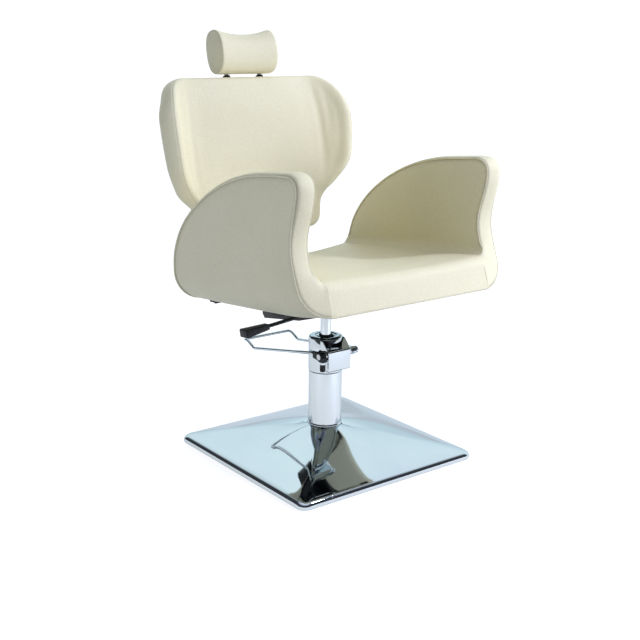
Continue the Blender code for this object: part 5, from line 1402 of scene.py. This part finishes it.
# %% Headrest posts
POST_X, POST_DEPTH, POST_R = 0.057, 0.0285, 0.006
POST_FOOT, POST_TOP = BACK_H - 0.150, 0.4817
GUIDE_FOOT, COLLAR_FOOT, COLLAR_TOP = BACK_H - 0.090, BACK_H + 0.0013, BACK_H + 0.0073
LEAN = Matrix.Translation((0, *BACK_FOOT)) @ Matrix.Rotation(-BACK_LEAN, 4, "X")
for label, sign in SIDES:
    at = LEAN @ Matrix.Translation((sign * POST_X, POST_DEPTH, 0))
    lathe(
        f"post_{label}", [(0, POST_FOOT), (POST_R, POST_FOOT), (POST_R, POST_TOP), (0, POST_TOP)],
        "chrome", "headrest", [f"headrest_post_{label}"], at, steps=48,
    )
    lathe(
        f"guide_{label}",
        [
            (0.0064, GUIDE_FOOT), (0.0078, GUIDE_FOOT), (0.0078, COLLAR_FOOT), (0.0110, COLLAR_FOOT),
            (0.0110, COLLAR_TOP - 0.0018), (0.0095, COLLAR_TOP), (0.0064, COLLAR_TOP), (0.0064, GUIDE_FOOT),
        ],
        "black_plastic", "back", [f"headrest_guide_{label}"], at, steps=48,
    )
print("posts and guides at", POST_X)

# %% [markdown]
# ## Studio
# A white floor runs far back. It is only looked at and mirrored: its light on the leather comes from the
# lower half of the room. A round pale backdrop, seen only by the eye, stands behind everything.

# %% Floor and backdrop
FLOOR_SIZE, FLOOR_GLOW = 60, 0.80
BACKDROP_GLOW, BACKDROP_R, BACKDROP_H = 1.06, 14.0, 12.0


def floor_recipe(place):
    mottle = place.noise(3.0, 3.0)
    colour = mottle.mix((0.34, 0.34, 0.35, 1), (0.38, 0.38, 0.39, 1))
    glow = mottle.mix((0.98, 0.98, 0.99, 1), (1.0, 1.0, 1.0, 1))
    return {"Base Color": colour, "Emission Color": glow, "Roughness": 0.6 + mottle * 0.1}


def staged(name, finish_name, glow, cuts):
    """Ends the drawing of a piece of the studio and gives it its glow."""
    bpy.ops.mesh.subdivide(number_cuts=cuts)
    bpy.ops.object.mode_set(mode="OBJECT")
    piece = bpy.context.object
    piece.name = name
    piece.data.materials.append(finish(finish_name, {"Emission Strength": glow}, floor_recipe))
    piece.visible_diffuse = piece.visible_shadow = False
    return piece


begin()
bpy.ops.mesh.primitive_plane_add(size=FLOOR_SIZE, enter_editmode=True)
floor = staged("studio_floor", "pale_floor", FLOOR_GLOW, cuts=4)

begin()
bpy.ops.mesh.primitive_cylinder_add(
    vertices=96, radius=BACKDROP_R, depth=BACKDROP_H, end_fill_type="NOTHING",
    location=(0, 0, BACKDROP_H / 2), enter_editmode=True,
)
backdrop = staged("studio_backdrop", "pale_backdrop", BACKDROP_GLOW, cuts=1)
backdrop.visible_glossy = False
print("studio", floor.name, backdrop.name)

# %% [markdown]
# The chrome needs something to mirror, so the room is bright and bluish behind the chair and dark in front
# of it, with a pale ceiling.

# %% Room
WALL_WHITE = (1.0, 1.02, 1.06, 1)
WALL_BLUE = (1.06, 1.24, 1.30, 1)
CEILING = (0.88, 0.96, 1.16, 1)
DIM_ROOM = (0.05, 0.054, 0.065, 1)
BELOW = (0.34, 0.38, 0.48, 1)
BEHIND_X, BEHIND_Y = 0.80, 0.60
# where one part of the room goes over into the next
BEHIND_FADE, WALL_FADE = (0.26, 0.58), (0.026, 0.07)
CEILING_FADE, BELOW_FADE = (0.66, 0.95), (-0.35, -0.15)
world = bpy.data.worlds.new("studio_room")
bpy.context.scene.world = world
world.use_nodes = True
sky = world.node_tree.nodes["Background"]
aim = Wire(world.node_tree.nodes.new("ShaderNodeTexCoord").outputs["Generated"])
across, along, up = (aim.node("ShaderNodeSeparateXYZ", {0: aim}, k) for k in range(3))
behind = (across * BEHIND_X + along * BEHIND_Y).clamp(*BEHIND_FADE)
overhead = up.clamp(*CEILING_FADE)
wall = overhead.mix(up.clamp(*WALL_FADE).mix(WALL_WHITE, WALL_BLUE), CEILING)
front = overhead.mix(DIM_ROOM, CEILING)
room = up.clamp(*BELOW_FADE).mix(BELOW, behind.mix(front, wall))
world.node_tree.links.new(room.socket, sky.inputs["Color"])
print("room", world.name, len(world.node_tree.nodes), "nodes")

# %% [markdown]
# A broad soft light stands at the front, a small high one at the right throws the arm's shadow over the
# seat, and a window at the left lights the near side. Only the small one shows in the chrome.


# %% Lights
def soft_light(name, place, target, size, power, colour, mirrored=False):
    """A round soft lamp that looks at target; only a mirrored one shows in the chrome."""
    lamp = bpy.data.lights.new(name, "AREA")
    lamp.shape = "DISK"
    lamp.size = size
    lamp.energy = power
    lamp.color = colour
    holder = placed(name, lamp)
    holder.location = place
    holder.rotation_euler = (Vector(target) - Vector(place)).to_track_quat("-Z", "Y").to_euler()
    holder.visible_glossy = mirrored


soft_light("front", (1.5, -2.7, 0.75), (0, 0, 0.6), 1.8, 55, (0.94, 0.99, 1.27))
soft_light("key", (1.9, -2.0, 3.0), (0, 0, 0.6), 0.30, 56, (0.94, 0.99, 1.28), mirrored=True)
soft_light("window", (-3.2, -0.4, 0.75), (0, 0, 0.7), 2.0, 29, (0.93, 1.02, 1.27))
print("lights", sorted(lamp.name for lamp in bpy.data.lights))

bpy.context.scene.view_settings.view_transform = "Standard"
